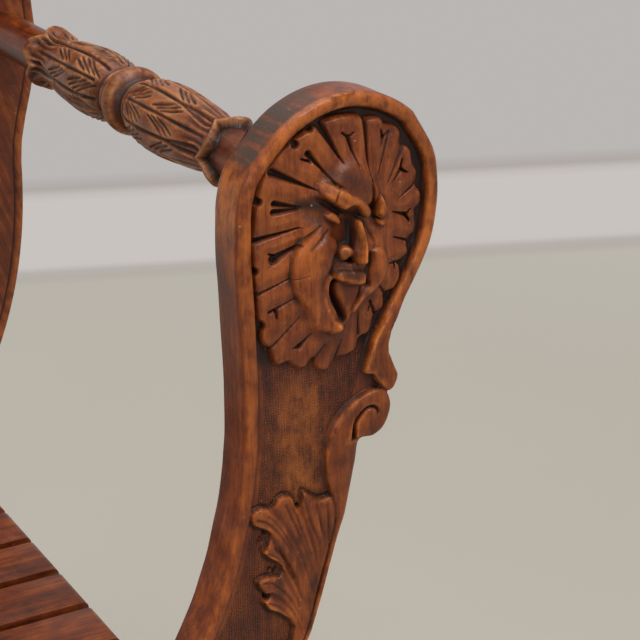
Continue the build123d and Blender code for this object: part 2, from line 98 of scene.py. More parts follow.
def toLine(x, z, line):
    # nearest distance to a line of points, the share of its length there, and the side (+1 left, -1 right)
    line = np.asarray(line, float)
    run = np.concatenate([[0], np.cumsum(np.hypot(*np.diff(line, axis=0).T))])
    best = np.full(x.shape, 1e9)
    share = np.zeros(x.shape)
    side = np.ones(x.shape)
    for k in range(len(line) - 1):
        ax, az = line[k]
        dx, dz = line[k + 1] - line[k]
        t = np.clip(((x - ax) * dx + (z - az) * dz) / (dx * dx + dz * dz), 0, 1)
        off = np.hypot(x - ax - t * dx, z - az - t * dz)
        near = off < best
        best = np.where(near, off, best)
        share = np.where(near, (run[k] + t * (run[k + 1] - run[k])) / run[-1], share)
        side = np.where(near, np.sign(dx * (z - az) - dz * (x - ax) + 1e-12), side)
    return best, share, side


def inside(x, z, loop):
    # signed distance to a closed loop, positive inside (even-odd rule)
    line = np.vstack([loop, loop[:1]])
    off = toLine(x, z, line)[0]
    odd = np.zeros(x.shape, bool)
    for (ax, az), (bx, bz) in zip(line[:-1], line[1:]):
        if az != bz:
            odd ^= ((az > z) != (bz > z)) & (x < (bx - ax) * (z - az) / (bz - az) + ax)
    return np.where(odd, off, -off)


def insideNear(x, z, loop, margin=3.0):
    # the same distance, worked out only within the margin round the loop and -9 elsewhere
    near = (x > loop[:, 0].min() - margin) & (x < loop[:, 0].max() + margin)
    near &= (z > loop[:, 1].min() - margin) & (z < loop[:, 1].max() + margin)
    out = np.full(x.shape, -9.0)
    out[near] = inside(x[near], z[near], loop)
    return out


def ridge(x, z, points, widths, heights, power=2.0):
    # a swelling along a line: height(s) * exp(-(distance / width(s))^power)
    points = np.asarray(points, float)
    reach = 3.2 * max(widths)
    near = (x > points[:, 0].min() - reach) & (x < points[:, 0].max() + reach)
    near &= (z > points[:, 1].min() - reach) & (z < points[:, 1].max() + reach)
    off, share, _ = toLine(x[near], z[near], points)
    width = np.interp(share, np.linspace(0, 1, len(widths)), widths)
    height = np.interp(share, np.linspace(0, 1, len(heights)), heights)
    out = np.zeros(x.shape)
    out[near] = height * np.exp(-((off / width) ** power))
    return out


def blurred(values, rounds):
    # repeated three-point means along both ways of a grid
    v = values.copy()
    for _ in range(rounds):
        v[1:-1] = (v[:-2] + v[1:-1] + v[2:]) / 3
        v[:, 1:-1] = (v[:, :-2] + v[:, 1:-1] + v[:, 2:]) / 3
    return v


def blurredRound(values, rounds):
    # the same means on a grid whose rows close on themselves
    count = values.shape[1]
    return blurred(np.hstack([values] * 3), rounds)[:, count:2 * count]


def padded(values, extra, rest=0.0):
    # a tone for every point of a carved grid, then one value for the points behind it
    return np.concatenate([values.ravel(), np.full(extra, rest)])


def makePiece(name, points, faces, material, body, stands=(), tones=None, flip=False):
    # points in millimetres; tones are point attributes for wear and painted highlight, painted shade and
    # patina, hatch and stain; flip mirrors x
    points = np.asarray(points, float) * 0.001
    if flip:
        points = points * (-1, 1, 1)
        faces = [tuple(face)[::-1] for face in faces]
    mesh = bpy.data.meshes.new(name)
    mesh.from_pydata(points.tolist(), [], [tuple(face) for face in faces])
    for key, values in (tones or {}).items():
        layer = mesh.attributes.new(key, "FLOAT", "POINT")
        layer.data.foreach_set("value", np.asarray(values, np.float32).ravel())
    mesh.polygons.foreach_set("use_smooth", np.full(len(mesh.polygons), True))
    mesh.materials.append(material)
    mesh.validate()
    mesh.update()
    piece = bpy.data.objects.new(name, mesh)
    bpy.context.scene.collection.objects.link(piece)
    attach(piece, body)
    if stands:
        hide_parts(*stands)


def gridFaces(rows, columns, start=0, closed=False):
    # quads of a grid of points numbered row by row
    wrap = columns if closed else columns - 1
    r, c = np.meshgrid(np.arange(rows - 1), np.arange(wrap), indexing="ij")
    n = (c + 1) % columns
    quads = np.stack([r * columns + c, r * columns + n, (r + 1) * columns + n, (r + 1) * columns + c], -1)
    return (quads.reshape(-1, 4) + start).tolist()


def rimLoop(rows, columns):
    # the numbers of a grid's outer points, once round
    number = np.arange(rows * columns).reshape(rows, columns)
    return np.concatenate([number[0, :-1], number[:-1, -1], number[-1, :0:-1], number[:0:-1, 0]])


def plankShell(front, backY, bevel=1.6):
    # A carved front grid (rows x columns x 3, both counts 4n + 1) closed by a coarser shell behind it:
    # its rim goes straight back, is bevelled, and ends in a flat back grid of every fourth point.
    rows, columns = front.shape[:2]
    flat = front.reshape(-1, 3)
    loop = rimLoop(rows, columns)
    rimPoints = flat[loop[::4]]
    after = np.roll(rimPoints, -1, 0) - np.roll(rimPoints, 1, 0)
    inward = np.stack([-after[:, 2], np.zeros(len(after)), after[:, 0]], 1)
    inward /= np.linalg.norm(inward, axis=1)[:, None] + 1e-9
    rings = []
    # share of the way back, then how far inwards and how far short of the back, in bevels
    for share, drawnIn, short in ((0.12, 0, 1), (0.45, 0, 1), (0.8, 0, 1), (1, 0, 1), (1, 0.3, 0.3)):
        ring = rimPoints + inward * bevel * drawnIn
        end = backY - bevel * short
        ring[:, 1] = end + (rimPoints[:, 1] - end) * (1 - share)
        rings.append(ring)
    back = front[::4, ::4].copy()
    backLoop = rimLoop(*back.shape[:2])
    backFlat = back.reshape(-1, 3)
    backFlat[backLoop] = rimPoints + inward * bevel
    backFlat[:, 1] = backY
    # the first coarse ring takes four fine edges to each of its own
    count = len(rimPoints)
    k = np.arange(count)
    n = (k + 1) % count
    start = rows * columns
    fine = loop[(4 * k[:, None] + np.arange(4, -1, -1)) % len(loop)]
    faces = gridFaces(rows, columns) + np.column_stack([fine, start + k, start + n]).tolist()
    backStart = start + len(rings) * count
    edges = [start + number * count + k for number in range(len(rings))] + [backStart + backLoop]
    for here, beyond in zip(edges[:-1], edges[1:]):
        faces += np.stack([here[n], here, beyond, beyond[n]], 1).tolist()
    faces += [face[::-1] for face in gridFaces(*back.shape[:2], backStart)]
    return np.vstack([flat, *rings, backFlat]), faces


# materials
def linear(red, green, blue):
    # a colour given as 0 to 255 display values, as the shader's linear colour
    c = np.array([red, green, blue]) / 255
    c = np.where(c <= 0.04045, c / 12.92, ((c + 0.055) / 1.055) ** 2.4)
    return (*c, 1.0)


def grey(value):
    # a plain grey as the shader's colour
    return (value, value, value, 1)


def newMaterial(name):
    # a material whose principled shader goes straight to its output
    material = bpy.data.materials.new(name)
    material.use_nodes = True
    tree = material.node_tree
    tree.nodes.clear()
    out = tree.nodes.new("ShaderNodeOutputMaterial")
    shader = tree.nodes.new("ShaderNodeBsdfPrincipled")
    tree.links.new(shader.outputs[0], out.inputs[0])
    return material, tree, shader, out


def feed(tree, value, socket):
    # a number or a colour is set on the socket, another node's output is linked to it
    if isinstance(value, (int, float, tuple)):
        socket.default_value = value
    else:
        tree.links.new(value, socket)


def mathNode(tree, how, *values):
    # the operation on the first two values, then on that result and the next value, to the last
    result = values[0]
    for value in values[1:]:
        node = tree.nodes.new("ShaderNodeMath")
        node.operation = how
        feed(tree, result, node.inputs[0])
        feed(tree, value, node.inputs[1])
        result = node.outputs[0]
    return result


def plus(tree, *values):
    # the values added up
    return mathNode(tree, "ADD", *values)


def times(tree, *values):
    # the values multiplied
    return mathNode(tree, "MULTIPLY", *values)


def noiseNode(tree, vector, scale, detail, rough=0.55, distort=0.0):
    # noise with so many waves to a metre
    node = tree.nodes.new("ShaderNodeTexNoise")
    settings = {"Vector": vector, "Scale": scale, "Detail": detail, "Roughness": rough, "Distortion": distort}
    for key, value in settings.items():
        feed(tree, value, node.inputs[key])
    return node.outputs[0]


def rampNode(tree, factor, stops):
    # colours blended between (place, colour) stops
    node = tree.nodes.new("ShaderNodeValToRGB")
    ramp = node.color_ramp
    while len(ramp.elements) < len(stops):
        ramp.elements.new(0.5)
    for element, (place, colour) in zip(ramp.elements, stops):
        element.position = place
        element.color = colour
    feed(tree, factor, node.inputs[0])
    return node.outputs[0]


def mixColour(tree, factor, a, b, how="MIX"):
    # a blended towards b by the factor
    node = tree.nodes.new("ShaderNodeMix")
    node.data_type = "RGBA"
    node.blend_type = how
    for value, number in ((factor, 0), (a, 6), (b, 7)):
        feed(tree, value, node.inputs[number])
    return node.outputs[2]


def mixShaders(tree, factor, a, b, socket):
    # a blended towards b by the factor, into the socket
    node = tree.nodes.new("ShaderNodeMixShader")
    for value, number in ((factor, 0), (a, 1), (b, 2)):
        feed(tree, value, node.inputs[number])
    feed(tree, node.outputs[0], socket)


def mapped(tree, vector, scale=(1, 1, 1), turn=(0, 0, 0)):
    # a place turned about the origin and stretched along the axes
    node = tree.nodes.new("ShaderNodeMapping")
    for key, value in (("Vector", vector), ("Scale", scale), ("Rotation", turn)):
        feed(tree, value, node.inputs[key])
    return node.outputs[0]


def parted(tree, vector):
    # x, y and z of a vector
    node = tree.nodes.new("ShaderNodeSeparateXYZ")
    feed(tree, vector, node.inputs[0])
    return node.outputs


def bumped(tree, shader, height, strength, distance):
    # height * distance in metres, as a bump on the shader
    node = tree.nodes.new("ShaderNodeBump")
    for key, value in (("Height", height), ("Strength", strength), ("Distance", distance)):
        feed(tree, value, node.inputs[key])
    feed(tree, node.outputs[0], shader.inputs["Normal"])


walnut = {
    "dark": (58, 24, 11),
    "mid": (113, 51, 21),
    "light": (158, 82, 33),
    "gold": (206, 118, 48),
    "rubbedAndLit": (178, 122, 76),  # paler wear and painted highlight, on turned work that is often handled
    # patina in the hollows and painted shade: the colour that the shade layer darkens to
    "patinaAndShade": (26, 17, 15),
    "stain": (64, 50, 42),
    "filler": (190, 170, 150),
    "roughness": 0.36,
    "grainStretch": (0.22, 0.05),  # scale along the grain, of the broad figure and of the streaks and pores
    "toolPitch": (3900.0, 4200.0),  # phase in radians for a metre of x and of z, about 1.5 mm between cuts
}


def walnutMaterial(name, grain="z", tilt=0.0, tone=1.0, wornAndLit="gold"):
    # streaks and pores stretched along the grain, gold on raised edges as wear and painted highlight,
    # dark patina and painted shade in the hollows
    material, tree, shader, _ = newMaterial(name)
    place = tree.nodes.new("ShaderNodeTexCoord").outputs["Object"]
    turned = mapped(tree, place, turn=(0, tilt, 0))
    figure, pores = (mapped(tree, turned, tuple(share if axis == grain else 1.0 for axis in "xyz"))
                     for share in walnut["grainStretch"])
    broad = noiseNode(tree, figure, 26, 4, 0.55, 0.8)
    streak = noiseNode(tree, pores, 260, 5, 0.6, 0.2)
    pore = noiseNode(tree, pores, 1300, 2, 0.5)
    mottled = noiseNode(tree, place, 75, 5, 0.62)
    mixed = plus(tree, times(tree, broad, 0.38), times(tree, streak, 0.32), times(tree, mottled, 0.30))
    shades = [tuple(c * tone for c in linear(*walnut[key])[:3]) + (1,) for key in ("dark", "mid", "light")]
    wood = rampNode(tree, mixed, list(zip((0.36, 0.50, 0.63), shades)))
    poreMask = rampNode(tree, pore, [(0.34, (0.42, 0.40, 0.40, 1)), (0.44, grey(1))])
    wood = mixColour(tree, 0.6, wood, poreMask, "MULTIPLY")
    layers = {}
    for key in ("wearAndHighlight", "shade", "hatch", "stain"):
        layer = tree.nodes.new("ShaderNodeAttribute")
        layer.attribute_name = key
        layers[key] = layer.outputs["Fac"]
    # tooled ground: the greater of sin(x * pitch + wobble) and sin(z * pitch + wobble), from 0 to 1
    wobble = times(tree, noiseNode(tree, place, 190, 3, 0.65), 13.0)
    cuts = []
    for axis, pitch in zip((0, 2), walnut["toolPitch"]):
        phase = plus(tree, times(tree, parted(tree, place)[axis], pitch), wobble)
        cuts.append(mathNode(tree, "SINE", phase, 0.0))
    tooled = plus(tree, times(tree, mathNode(tree, "MAXIMUM", *cuts), 0.5), 0.5)
    tooled = times(tree, tooled, layers["hatch"])
    # the ramp paints shade in the bottoms of the tooled cuts and a little painted highlight on their tops
    inCuts = [(0.0, (1.12, 1.1, 1.05, 1)), (0.5, grey(1)), (0.95, (0.24, 0.20, 0.20, 1))]
    inCuts = rampNode(tree, tooled, inCuts)
    wood = mixColour(tree, 0.9, wood, inCuts, "MULTIPLY")
    fine = noiseNode(tree, figure, 240, 6, 0.7)
    blotch = times(tree, plus(tree, fine, mottled), 0.5)
    patchy = rampNode(tree, blotch, [(0.42, grey(0.12)), (0.56, grey(1))])
    # gold from the wear layer: real wear, and painted highlight on raised parts
    wood = mixColour(tree, times(tree, layers["wearAndHighlight"], patchy), wood, linear(*walnut[wornAndLit]))
    # painted shade and dark patina from the shade layer, in hollows, cuts and gaps
    dark = times(tree, layers["shade"], plus(tree, times(tree, mottled, 0.6), 0.66))
    wood = mixColour(tree, dark, wood, linear(*walnut["patinaAndShade"]))
    # an old stain that has run across the thickness of the wood
    across = noiseNode(tree, mapped(tree, place, (1.0, 0.06, 1.0)), 160, 4, 0.6)
    runs = rampNode(tree, across, [(0.40, grey(0.25)), (0.56, grey(0.95))])
    wood = mixColour(tree, times(tree, layers["stain"], runs), wood, linear(*walnut["stain"]))
    speck = rampNode(tree, noiseNode(tree, place, 520, 0), [(0.86, grey(0)), (0.88, grey(0.5))])
    wood = mixColour(tree, speck, wood, linear(*walnut["filler"]))
    feed(tree, wood, shader.inputs["Base Color"])
    # the mottling swings the roughness about its middle value
    rough = plus(tree, times(tree, mottled, 0.26), walnut["roughness"] - 0.13, times(tree, dark, 0.2),
                 times(tree, layers["hatch"], 0.12))
    feed(tree, rough, shader.inputs["Roughness"])
    for key, value in (("Specular IOR Level", 0.3), ("Coat Weight", 0.14), ("Coat Roughness", 0.2)):
        shader.inputs[key].default_value = value
    height = plus(tree, times(tree, tooled, -1.6), times(tree, pore, 0.8), times(tree, fine, 0.9), mottled)
    bumped(tree, shader, height, 0.55, 0.0006)
    return material


ironTones = ((0.35, (52, 47, 44)), (0.6, (92, 82, 74)), (0.75, (104, 70, 48)))


def ironMaterial():
    # dark forged iron, browned where it is handled
    material, tree, shader, _ = newMaterial("forgedIron")
    spots = noiseNode(tree, tree.nodes.new("ShaderNodeTexCoord").outputs["Object"], 180, 4, 0.6)
    colour = rampNode(tree, spots, [(place, linear(*shade)) for place, shade in ironTones])
    feed(tree, colour, shader.inputs["Base Color"])
    shader.inputs["Metallic"].default_value = 0.85
    feed(tree, plus(tree, times(tree, spots, 0.3), 0.32), shader.inputs["Roughness"])
    bumped(tree, shader, spots, 0.3, 0.0004)
    return material


carvedWood = walnutMaterial("carvedWalnut", "z", 0.0)
uprightWood = walnutMaterial("uprightWalnut", "z", 0.35)
crossWood = walnutMaterial("crossWalnut", "x", 0.0, 0.95)
depthWood = walnutMaterial("depthWalnut", "y", 0.0)
iron = ironMaterial()
print("materials made")


# the S-curved board, as rows of points from its inner to its outer edge
armShape = {
    "upperLine": ((0, 0), (176.9, 128.775), (264, 225.23), (264, 392)),  # from the rod up
    "lowerLine": ((0, 0), (-123.83, -90.14), (-226, -95), (-226, -190)),  # from the rod down
    "widths": (78.0, 70.0, 58.0),  # at the crossing, at the top of the S and at the ankle
    # inner edge x, z and outer edge x, z from the head centre, from the seat up to the round of the head;
    # the outer edge goes round the scroll and the leaf tip
    "rows": ((-89, -246, -20, -271), (-82.4, -229, -13.5, -251), (-77.2, -214, -8, -232),
             (-73, -197, -2.5, -213), (-69, -181, 3, -195), (-66, -162, 8.5, -173), (-64.8, -150, 11.3, -155),
             (-64.4, -146, 11.6, -150), (-64.2, -144, 16, -148), (-64, -142, 21.5, -148.4),
             (-63.8, -139.5, 28, -145), (-63.7, -137, 32, -139), (-63.6, -133, 34, -131),
             (-63.5, -128, 32.6, -124.4), (-63.5, -125, 31.4, -121.6), (-63.5, -122, 36.2, -118),
             (-63.5, -118, 38.2, -112), (-63.5, -112, 36.2, -106.5), (-63.5, -104, 33.4, -99.5),
             (-63.8, -95, 31.6, -92.5), (-64.2, -85, 33.2, -84.5), (-64.7, -75, 37.2, -75.5),
             (-65.2, -64, 44.6, -64.2), (-66, -44, 54.3, -47), (-67, -27, 62, -29), (-66.8, -8, 65.4, -8),
             (-65.6, 8, 65.2, 8), (-60.2, 25, 61.8, 25), (-44, 44, 48, 48)),
    "headRadii": ((0, 62.2), (0.25, 63.2), (0.5, 64.9), (0.75, 66.4), (1, 67.9)),  # over the top of the head
    # where the plain rim runs on beneath the scroll and the leaf tip
    "rimUnder": ((54.3, -47), (44.6, -64), (37, -75), (32, -84), (29, -94), (24, -106), (18, -121),
                 (13.5, -136), (11, -149), (8.5, -173), (3, -195), (-2.5, -213), (-8, -232), (-13.5, -251),
                 (-20, -271)),
}


def bezier(points, t):
    # cubic Bezier curve and its unit tangent
    a, b, c, d = (np.asarray(p, float) for p in points)
    t = np.asarray(t)[:, None]
    place = a * (1 - t) ** 3 + 3 * b * t * (1 - t) ** 2 + 3 * c * t * t * (1 - t) + d * t**3
    along = 3 * ((b - a) * (1 - t) ** 2 + 2 * (c - b) * t * (1 - t) + (d - c) * t * t)
    return place, along / np.linalg.norm(along, axis=1)[:, None]


def memberRows(crossing, top, bottom, t):
    # edge pairs of a curved member, t from -1 at the foot to 1 at the top: centre line -+ normal * half width
    low, lowAlong = bezier(armShape["lowerLine"], np.clip(-t, 0, 1))
    high, highAlong = bezier(armShape["upperLine"], np.clip(t, 0, 1))
    lowHalf = (crossing + (bottom - crossing) * np.clip(-t, 0, 1)) / 2
    highHalf = (crossing + (top - crossing) * np.clip(t, 0, 1)) / 2
    lowNormal = np.stack([-lowAlong[:, 1], lowAlong[:, 0]], 1) * lowHalf[:, None]
    highNormal = np.stack([-highAlong[:, 1], highAlong[:, 0]], 1) * highHalf[:, None]
    under = t[:, None] < 0
    inner = np.where(under, low - lowNormal, high + highNormal)
    outer = np.where(under, low + lowNormal, high - highNormal)
    return inner, outer


carvedGrid = {
    "columns": 152,
    # height from the head centre, and the spacing of the rows there
    "spacings": ((-600, 4.2), (-400, 4.2), (-310, 1.4), (-290, 0.75), (-110, 0.72), (-85, 0.95), (50, 0.95)),
}


def frontBoardRows():
    # all rows of the carved front board: the S from the foot up, then the listed rows, evenly respaced
    inner, outer = memberRows(*armShape["widths"], np.append(np.linspace(-1, 0.5, 16), 0.58))
    pairs = np.hstack([inner - pivotToHead, outer - pivotToHead])
    pairs = np.vstack([pairs, np.asarray(armShape["rows"], float)])
    s = np.linspace(0, len(pairs) - 1, 4000)
    fine = curveAt(pairs, s)
    middle = (fine[:, :2] + fine[:, 2:]) / 2
    step = np.hypot(*np.diff(middle, axis=0).T)
    wanted = graphAt(carvedGrid["spacings"], (middle[1:, 1] + middle[:-1, 1]) / 2)
    count = np.concatenate([[0], np.cumsum(step / wanted)])
    rows = int(count[-1] // 4 * 4)
    at = np.interp(np.linspace(0, count[-1], rows + 1), count, s)
    return curveAt(pairs, at)


def headArc(share):
    # the top of the head from upper left to upper right, a little fuller on the right
    turn = np.radians(135 - 90 * share)
    radius = graphAt(armShape["headRadii"], share)
    return radius[:, None] * np.stack([np.cos(turn), np.sin(turn)], 1)


def frontBoardGrid():
    # straight rows between the two edges that swell into arcs towards the top of the round head
    pairs = frontBoardRows()
    across = np.linspace(0, 1, carvedGrid["columns"] + 1)
    grid = pairs[:, None, :2] * (1 - across)[None, :, None] + pairs[:, None, 2:] * across[None, :, None]
    start = np.argmin(np.abs(pairs[:, 1] + 8) + (pairs[:, 1] < -40) * 99)
    rise = (np.arange(len(pairs)) - start) / (len(pairs) - 1 - start)
    lift = smoothStep(0, 1, rise) * 0.5 + 0.5 * np.clip(rise, 0, 1)
    arc = headArc(across)
    chord = arc[:1] * (1 - across)[:, None] + arc[-1:] * across[:, None]
    grid += lift[:, None, None] * (arc - chord)[None]
    return grid, pairs


rim = {
    # widths of the raised rims at heights from the head centre
    "inner": ((-620, 6.5), (-280, 8.0), (-160, 8.5), (-60, 10.0), (-10, 9.6), (30, 8.6), (66, 9.6)),
    "outer": ((-620, 6.5), (-280, 3.4), (-215, 3.8), (-190, 5.0), (-100, 5.0), (-80, 6.5), (-60, 7.6),
              (20, 7.6), (66, 9.6)),
    "floor": ((-420, -3.0), (-380, -4.5), (-130, -4.5), (-75, -8.0)),
    # height of the bead over its own width
    "bead": ((0, -3.2), (0.04, -2.2), (0.12, -1.2), (0.26, -0.4), (0.45, 0), (0.66, -0.3), (0.84, -1.1),
             (0.95, -2.1)),
}

ears = {
    # leaf tip: its left edge downwards, then its right edge upwards
    "leaf": ((27, -80), (22, -88), (19, -97), (16.8, -106.5), (21.5, -108.2), (25, -113.5), (29.5, -118.8),
             (33.5, -121.6), (36.6, -118), (38.6, -112), (36.6, -106.5), (33.8, -99.8), (32, -92.5),
             (33.6, -84.5), (37.6, -75.4), (44, -64), (36, -68)),
    "leafGroove": ((35, -78), (29, -86), (27, -100), (31, -114)),
    # scroll: the left edge upwards, round the volute and back down the outer edge
    "scroll": ((-7.6, -215), (-3.6, -203), (-3.2, -194), (-5.2, -184), (-8.9, -170.7), (-9.8, -157.4),
               (-8.7, -148), (-4, -136), (5.3, -126.7), (17.3, -120.7), (25.3, -119.4), (31, -120.4),
               (33.4, -124), (34.8, -131), (32.8, -139.4), (28.6, -145.8), (21.5, -149.2), (16, -148.6),
               (12.2, -150.4), (10.4, -162), (7.2, -176), (3, -194), (-2.2, -215)),
    "scrollGroove": ((8.6, -147.2), (9.3, -138.7), (12.7, -133.4), (17.3, -129.8), (21.6, -129.3),
                     (24.9, -131.6), (25.4, -134.4)),
    "crease": ((1.5, -194), (1.2, -182), (0.6, -165), (2, -152), (6, -141), (12, -133)),
    "eye": (20.0, -138.9, 7.4),
}

acanthus = {
    "edge": ((-40, -296), (-36.7, -284), (-33, -274.7), (-31.6, -266), (-35, -259.4), (-41.7, -253),
             (-48.6, -249), (-50.6, -246), (-52.6, -242.4), (-49.4, -242), (-47.8, -239.1), (-51.2, -237),
             (-54.4, -232.8), (-56.6, -227.6), (-52.9, -226.4), (-46.9, -226.8), (-41.4, -228), (-38.6, -226),
             (-39.4, -221.8), (-42.6, -218), (-48.2, -213.8), (-52.6, -209), (-49.2, -205.6), (-47.4, -202),
             (-47.2, -197.8), (-51, -193.6), (-55.7, -191), (-58.7, -189), (-60.4, -185.6), (-60.4, -182.2),
             (-58, -180), (-54, -179.2), (-50.4, -180.6), (-46.9, -181.6), (-44.4, -179.8), (-42, -176),
             (-38.7, -174.8), (-34.9, -175.8), (-32.7, -178), (-31.7, -181.4), (-30.2, -184.4), (-27, -186),
             (-26.2, -181), (-25, -175.6), (-22.5, -177.4), (-18.7, -180.4), (-14.7, -183.2), (-10.7, -183.4),
             (-7.3, -182.7), (-5, -184.6), (-2.6, -188), (-2.6, -194), (-4.6, -205), (-9, -220),
             (-12.7, -232), (-18, -250.7), (-22.7, -270.7), (-25.3, -284), (-26.7, -296)),
    # grooves between the lobes, from a notch down to the stem: deep ones, then fine veins
    "grooves": (((-47.8, -239.4), (-40.3, -245), (-32, -257), (-27.5, -270.7)),
                ((-39, -226.6), (-34.6, -236), (-28.7, -250.7), (-25.6, -268)),
                ((-47.2, -200), (-39, -214.7), (-31, -232), (-24.4, -254.7)),
                ((-46.5, -181.5), (-37, -196), (-27.5, -217), (-20.6, -240)),
                ((-27.4, -184), (-22.3, -200), (-17.4, -218.7), (-15.6, -232))),
    "veins": (((-51, -243.6), (-43, -248.4), (-34, -260), (-29.5, -274)),
              ((-54.4, -229), (-45.4, -232.4), (-34.5, -246), (-27, -262)),
              ((-50.8, -209.4), (-42.6, -215.6), (-34.4, -228), (-26.6, -247)),
              ((-45.4, -206.5), (-40, -214), (-35, -224), (-29, -238)),
              ((-58.6, -185), (-49.6, -190), (-39, -204), (-28.4, -226)),
              ((-51, -184), (-43.6, -192), (-34.6, -208), (-25, -232)),
              ((-39, -178), (-34, -190), (-27, -207), (-20, -229)),
              ((-33, -182), (-29.5, -193), (-23.6, -210), (-18.6, -226)),
              ((-24.6, -178), (-21.6, -193), (-15.4, -211), (-14.2, -222)),
              ((-17, -183), (-14.6, -196), (-11.6, -209), (-11.6, -216)),
              ((-9.6, -184.6), (-8.8, -196), (-8.4, -207))),
    # drilled eyes between the lobes: x, z, radius
    "eyes": ((-52.6, -201.4, 4.0), (-50.4, -197.4, 2.8), (-43.6, -223.8, 3.0), (-47.4, -222.4, 2.0),
             (-50.4, -239.4, 2.6), (-28.6, -184.8, 2.0)),
    "standing": 4.2,  # top of the leaf over the sunk ground
}


def rimProfile(off, width, floor):
    # a soft bead across the width, then a steep wall down to the floor
    bead = graphAt(rim["bead"], off / width)
    wall = smoothStep(0.9, 1.17, off / width)
    return bead * (1 - wall) + floor * wall


def domed(depthIn, top, edge, reach):
    # from the edge height at the outline up to the top, reach millimetres in, as a quarter circle
    t = np.clip(depthIn / reach, 0, 1)
    return edge + (top - edge) * np.sqrt(1 - (1 - t) ** 2)


def earHeights(x, z, height):
    # the scroll and the leaf tip that stand out of the arm's outer edge
    near = (z > -218) & (z < -58) & (x > -16)
    xs, zs = x[near], z[near]
    part = height[near]
    leafIn = inside(xs, zs, evenCurve(ears["leaf"], 90, True))
    leaf = domed(leafIn, 0.9, -0.5, 1.2) - ridge(xs, zs, ears["leafGroove"], (1.1, 1.3, 0.9), (0.4, 1.4, 0.8))
    for shift in (-4.4, -2.4, 2.6, 5.0):
        line = np.asarray(ears["leafGroove"]) + (shift, 0)
        leaf -= ridge(xs, zs, line, (0.5, 0.7, 0.5), (0.2, 0.8, 0.3))
    scrollIn = inside(xs, zs, evenCurve(ears["scroll"], 120, True))
    scroll = domed(scrollIn, 0.2, -1.8, 3.6)
    off, share, side = toLine(xs, zs, evenCurve(ears["crease"], 60))
    facet = np.where(side > 0, 0.11 * np.minimum(off, 9), 0.16 * np.minimum(off, 9))
    scroll += (1.0 - facet) * smoothStep(0.98, 0.8, share)
    eyeX, eyeZ, eyeRadius = ears["eye"]
    fromEye = np.hypot(xs - eyeX, zs - eyeZ) / eyeRadius
    ball = -0.8 + 1.8 * np.sqrt(np.clip(1 - fromEye**2, 0, 1))
    scroll = np.where(fromEye < 1, np.maximum(scroll, ball), scroll)
    off, share, _ = toLine(xs, zs, evenCurve(ears["scrollGroove"], 40))
    wide = np.interp(share, [0, 0.4, 1], [2.3, 1.9, 1.1])
    scroll -= np.interp(share, [0, 0.5, 1], [5.0, 4.6, 2.2]) * (1 - smoothStep(0.45, 1.0, off / wide))
    blend = smoothStep(-0.9, 0.1, scrollIn) * smoothStep(-214, -196, zs)
    part = part + (scroll - part) * blend
    part = part + (leaf - part) * smoothStep(-0.9, 0.1, leafIn) * smoothStep(-62, -76, zs)
    out = height.copy()
    out[near] = part
    shell = np.full(x.shape, -9.0)
    shell[near] = np.maximum(leafIn, scrollIn)
    return out, shell > -1.5


def acanthusHeights(x, z, height, offOuter):
    # a leaf that fans out over the sunk ground: lobes parted by deep grooves, fine veins along each lobe
    near = (z > -302) & (z < -168) & (x > -70)
    xs, zs = x[near], z[near]
    part = height[near]
    leafIn = inside(xs, zs, np.asarray(acanthus["edge"], float))
    top = graphAt(rim["floor"], zs) + acanthus["standing"]
    leaf = domed(leafIn, 0.0, -1.3, 3.4) + top + 0.9 * smoothStep(-235, -185, zs) * smoothStep(0, 8, leafIn)
    for line in acanthus["grooves"]:
        fine = curveAt(line, np.linspace(0, 3, 16))
        leaf -= ridge(xs, zs, fine, (2.6, 2.2, 1.5, 0.9), (2.6, 2.4, 1.6, 0.6), 1.4)
    for line in acanthus["veins"]:
        fine = curveAt(line, np.linspace(0, 3, 16))[1:]
        leaf -= ridge(xs, zs, fine, (0.9, 1.0, 0.7), (1.4, 1.7, 0.5), 1.6)
    fade = smoothStep(-300, -284, zs)
    blend = smoothStep(-0.7, 0.35, leafIn) * fade * smoothStep(0.9, 1.3, offOuter[near] / 3.4)
    groove = 0.8 * np.exp(-(((leafIn + 1.2) / 1.0) ** 2)) * fade
    out = height.copy()
    part = part * (1 - blend) + np.maximum(leaf, part) * blend - groove * (part < -2)
    for eyeX, eyeZ, radius in acanthus["eyes"]:
        part -= 2.2 * smoothStep(1.0, 0.4, np.hypot(xs - eyeX, zs - eyeZ) / radius) * (leafIn < 0.6)
    out[near] = np.maximum(part, -7.8)
    return out


def boardHeights(x, z, pairs):
    # height of the carved front above its front plane: rims, sunk ground, soft tool waves, leaf and scroll
    arc = headArc(np.linspace(0, 1, 40))
    innerLine = np.vstack([pairs[::5, :2], arc[:20]])
    under = np.asarray(armShape["rimUnder"], float)
    above = pairs[pairs[:, 3] > under[0, 1] + 1][::5, 2:]
    below = pairs[pairs[:, 3] < under[-1, 1] - 1][::5, 2:]
    outerLine = np.vstack([below, evenCurve(under[::-1], 90), above, arc[:19:-1]])
    offInner = toLine(x, z, innerLine)[0]
    offOuter, _, side = toLine(x, z, outerLine)
    offOuter = np.where((side < 0) & (z < -60), 0.0, offOuter)
    innerWidth, outerWidth, floor = (graphAt(rim[key], z) for key in ("inner", "outer", "floor"))
    waves = 0.12 * np.sin(x * 0.83 + 0.4 * np.sin(z * 0.31)) * np.sin(z * 0.57 + 1.3)
    outerBead = rimProfile(offOuter, outerWidth, floor)
    hidden = smoothStep(-84, -90, z) * smoothStep(-192, -186, z)
    outerBead += (floor - outerBead) * hidden
    height = np.maximum(rimProfile(offInner, innerWidth, floor), outerBead)
    ground = smoothStep(1.2, 1.6, offInner / innerWidth) * smoothStep(1.2, 1.6, offOuter / outerWidth)
    height = height + waves * ground
    height = acanthusHeights(x, z, height, offOuter)
    height, onEar = earHeights(x, z, height)
    ground = ground * (height < floor + 1.2) * (1 - onEar)
    return height, ground


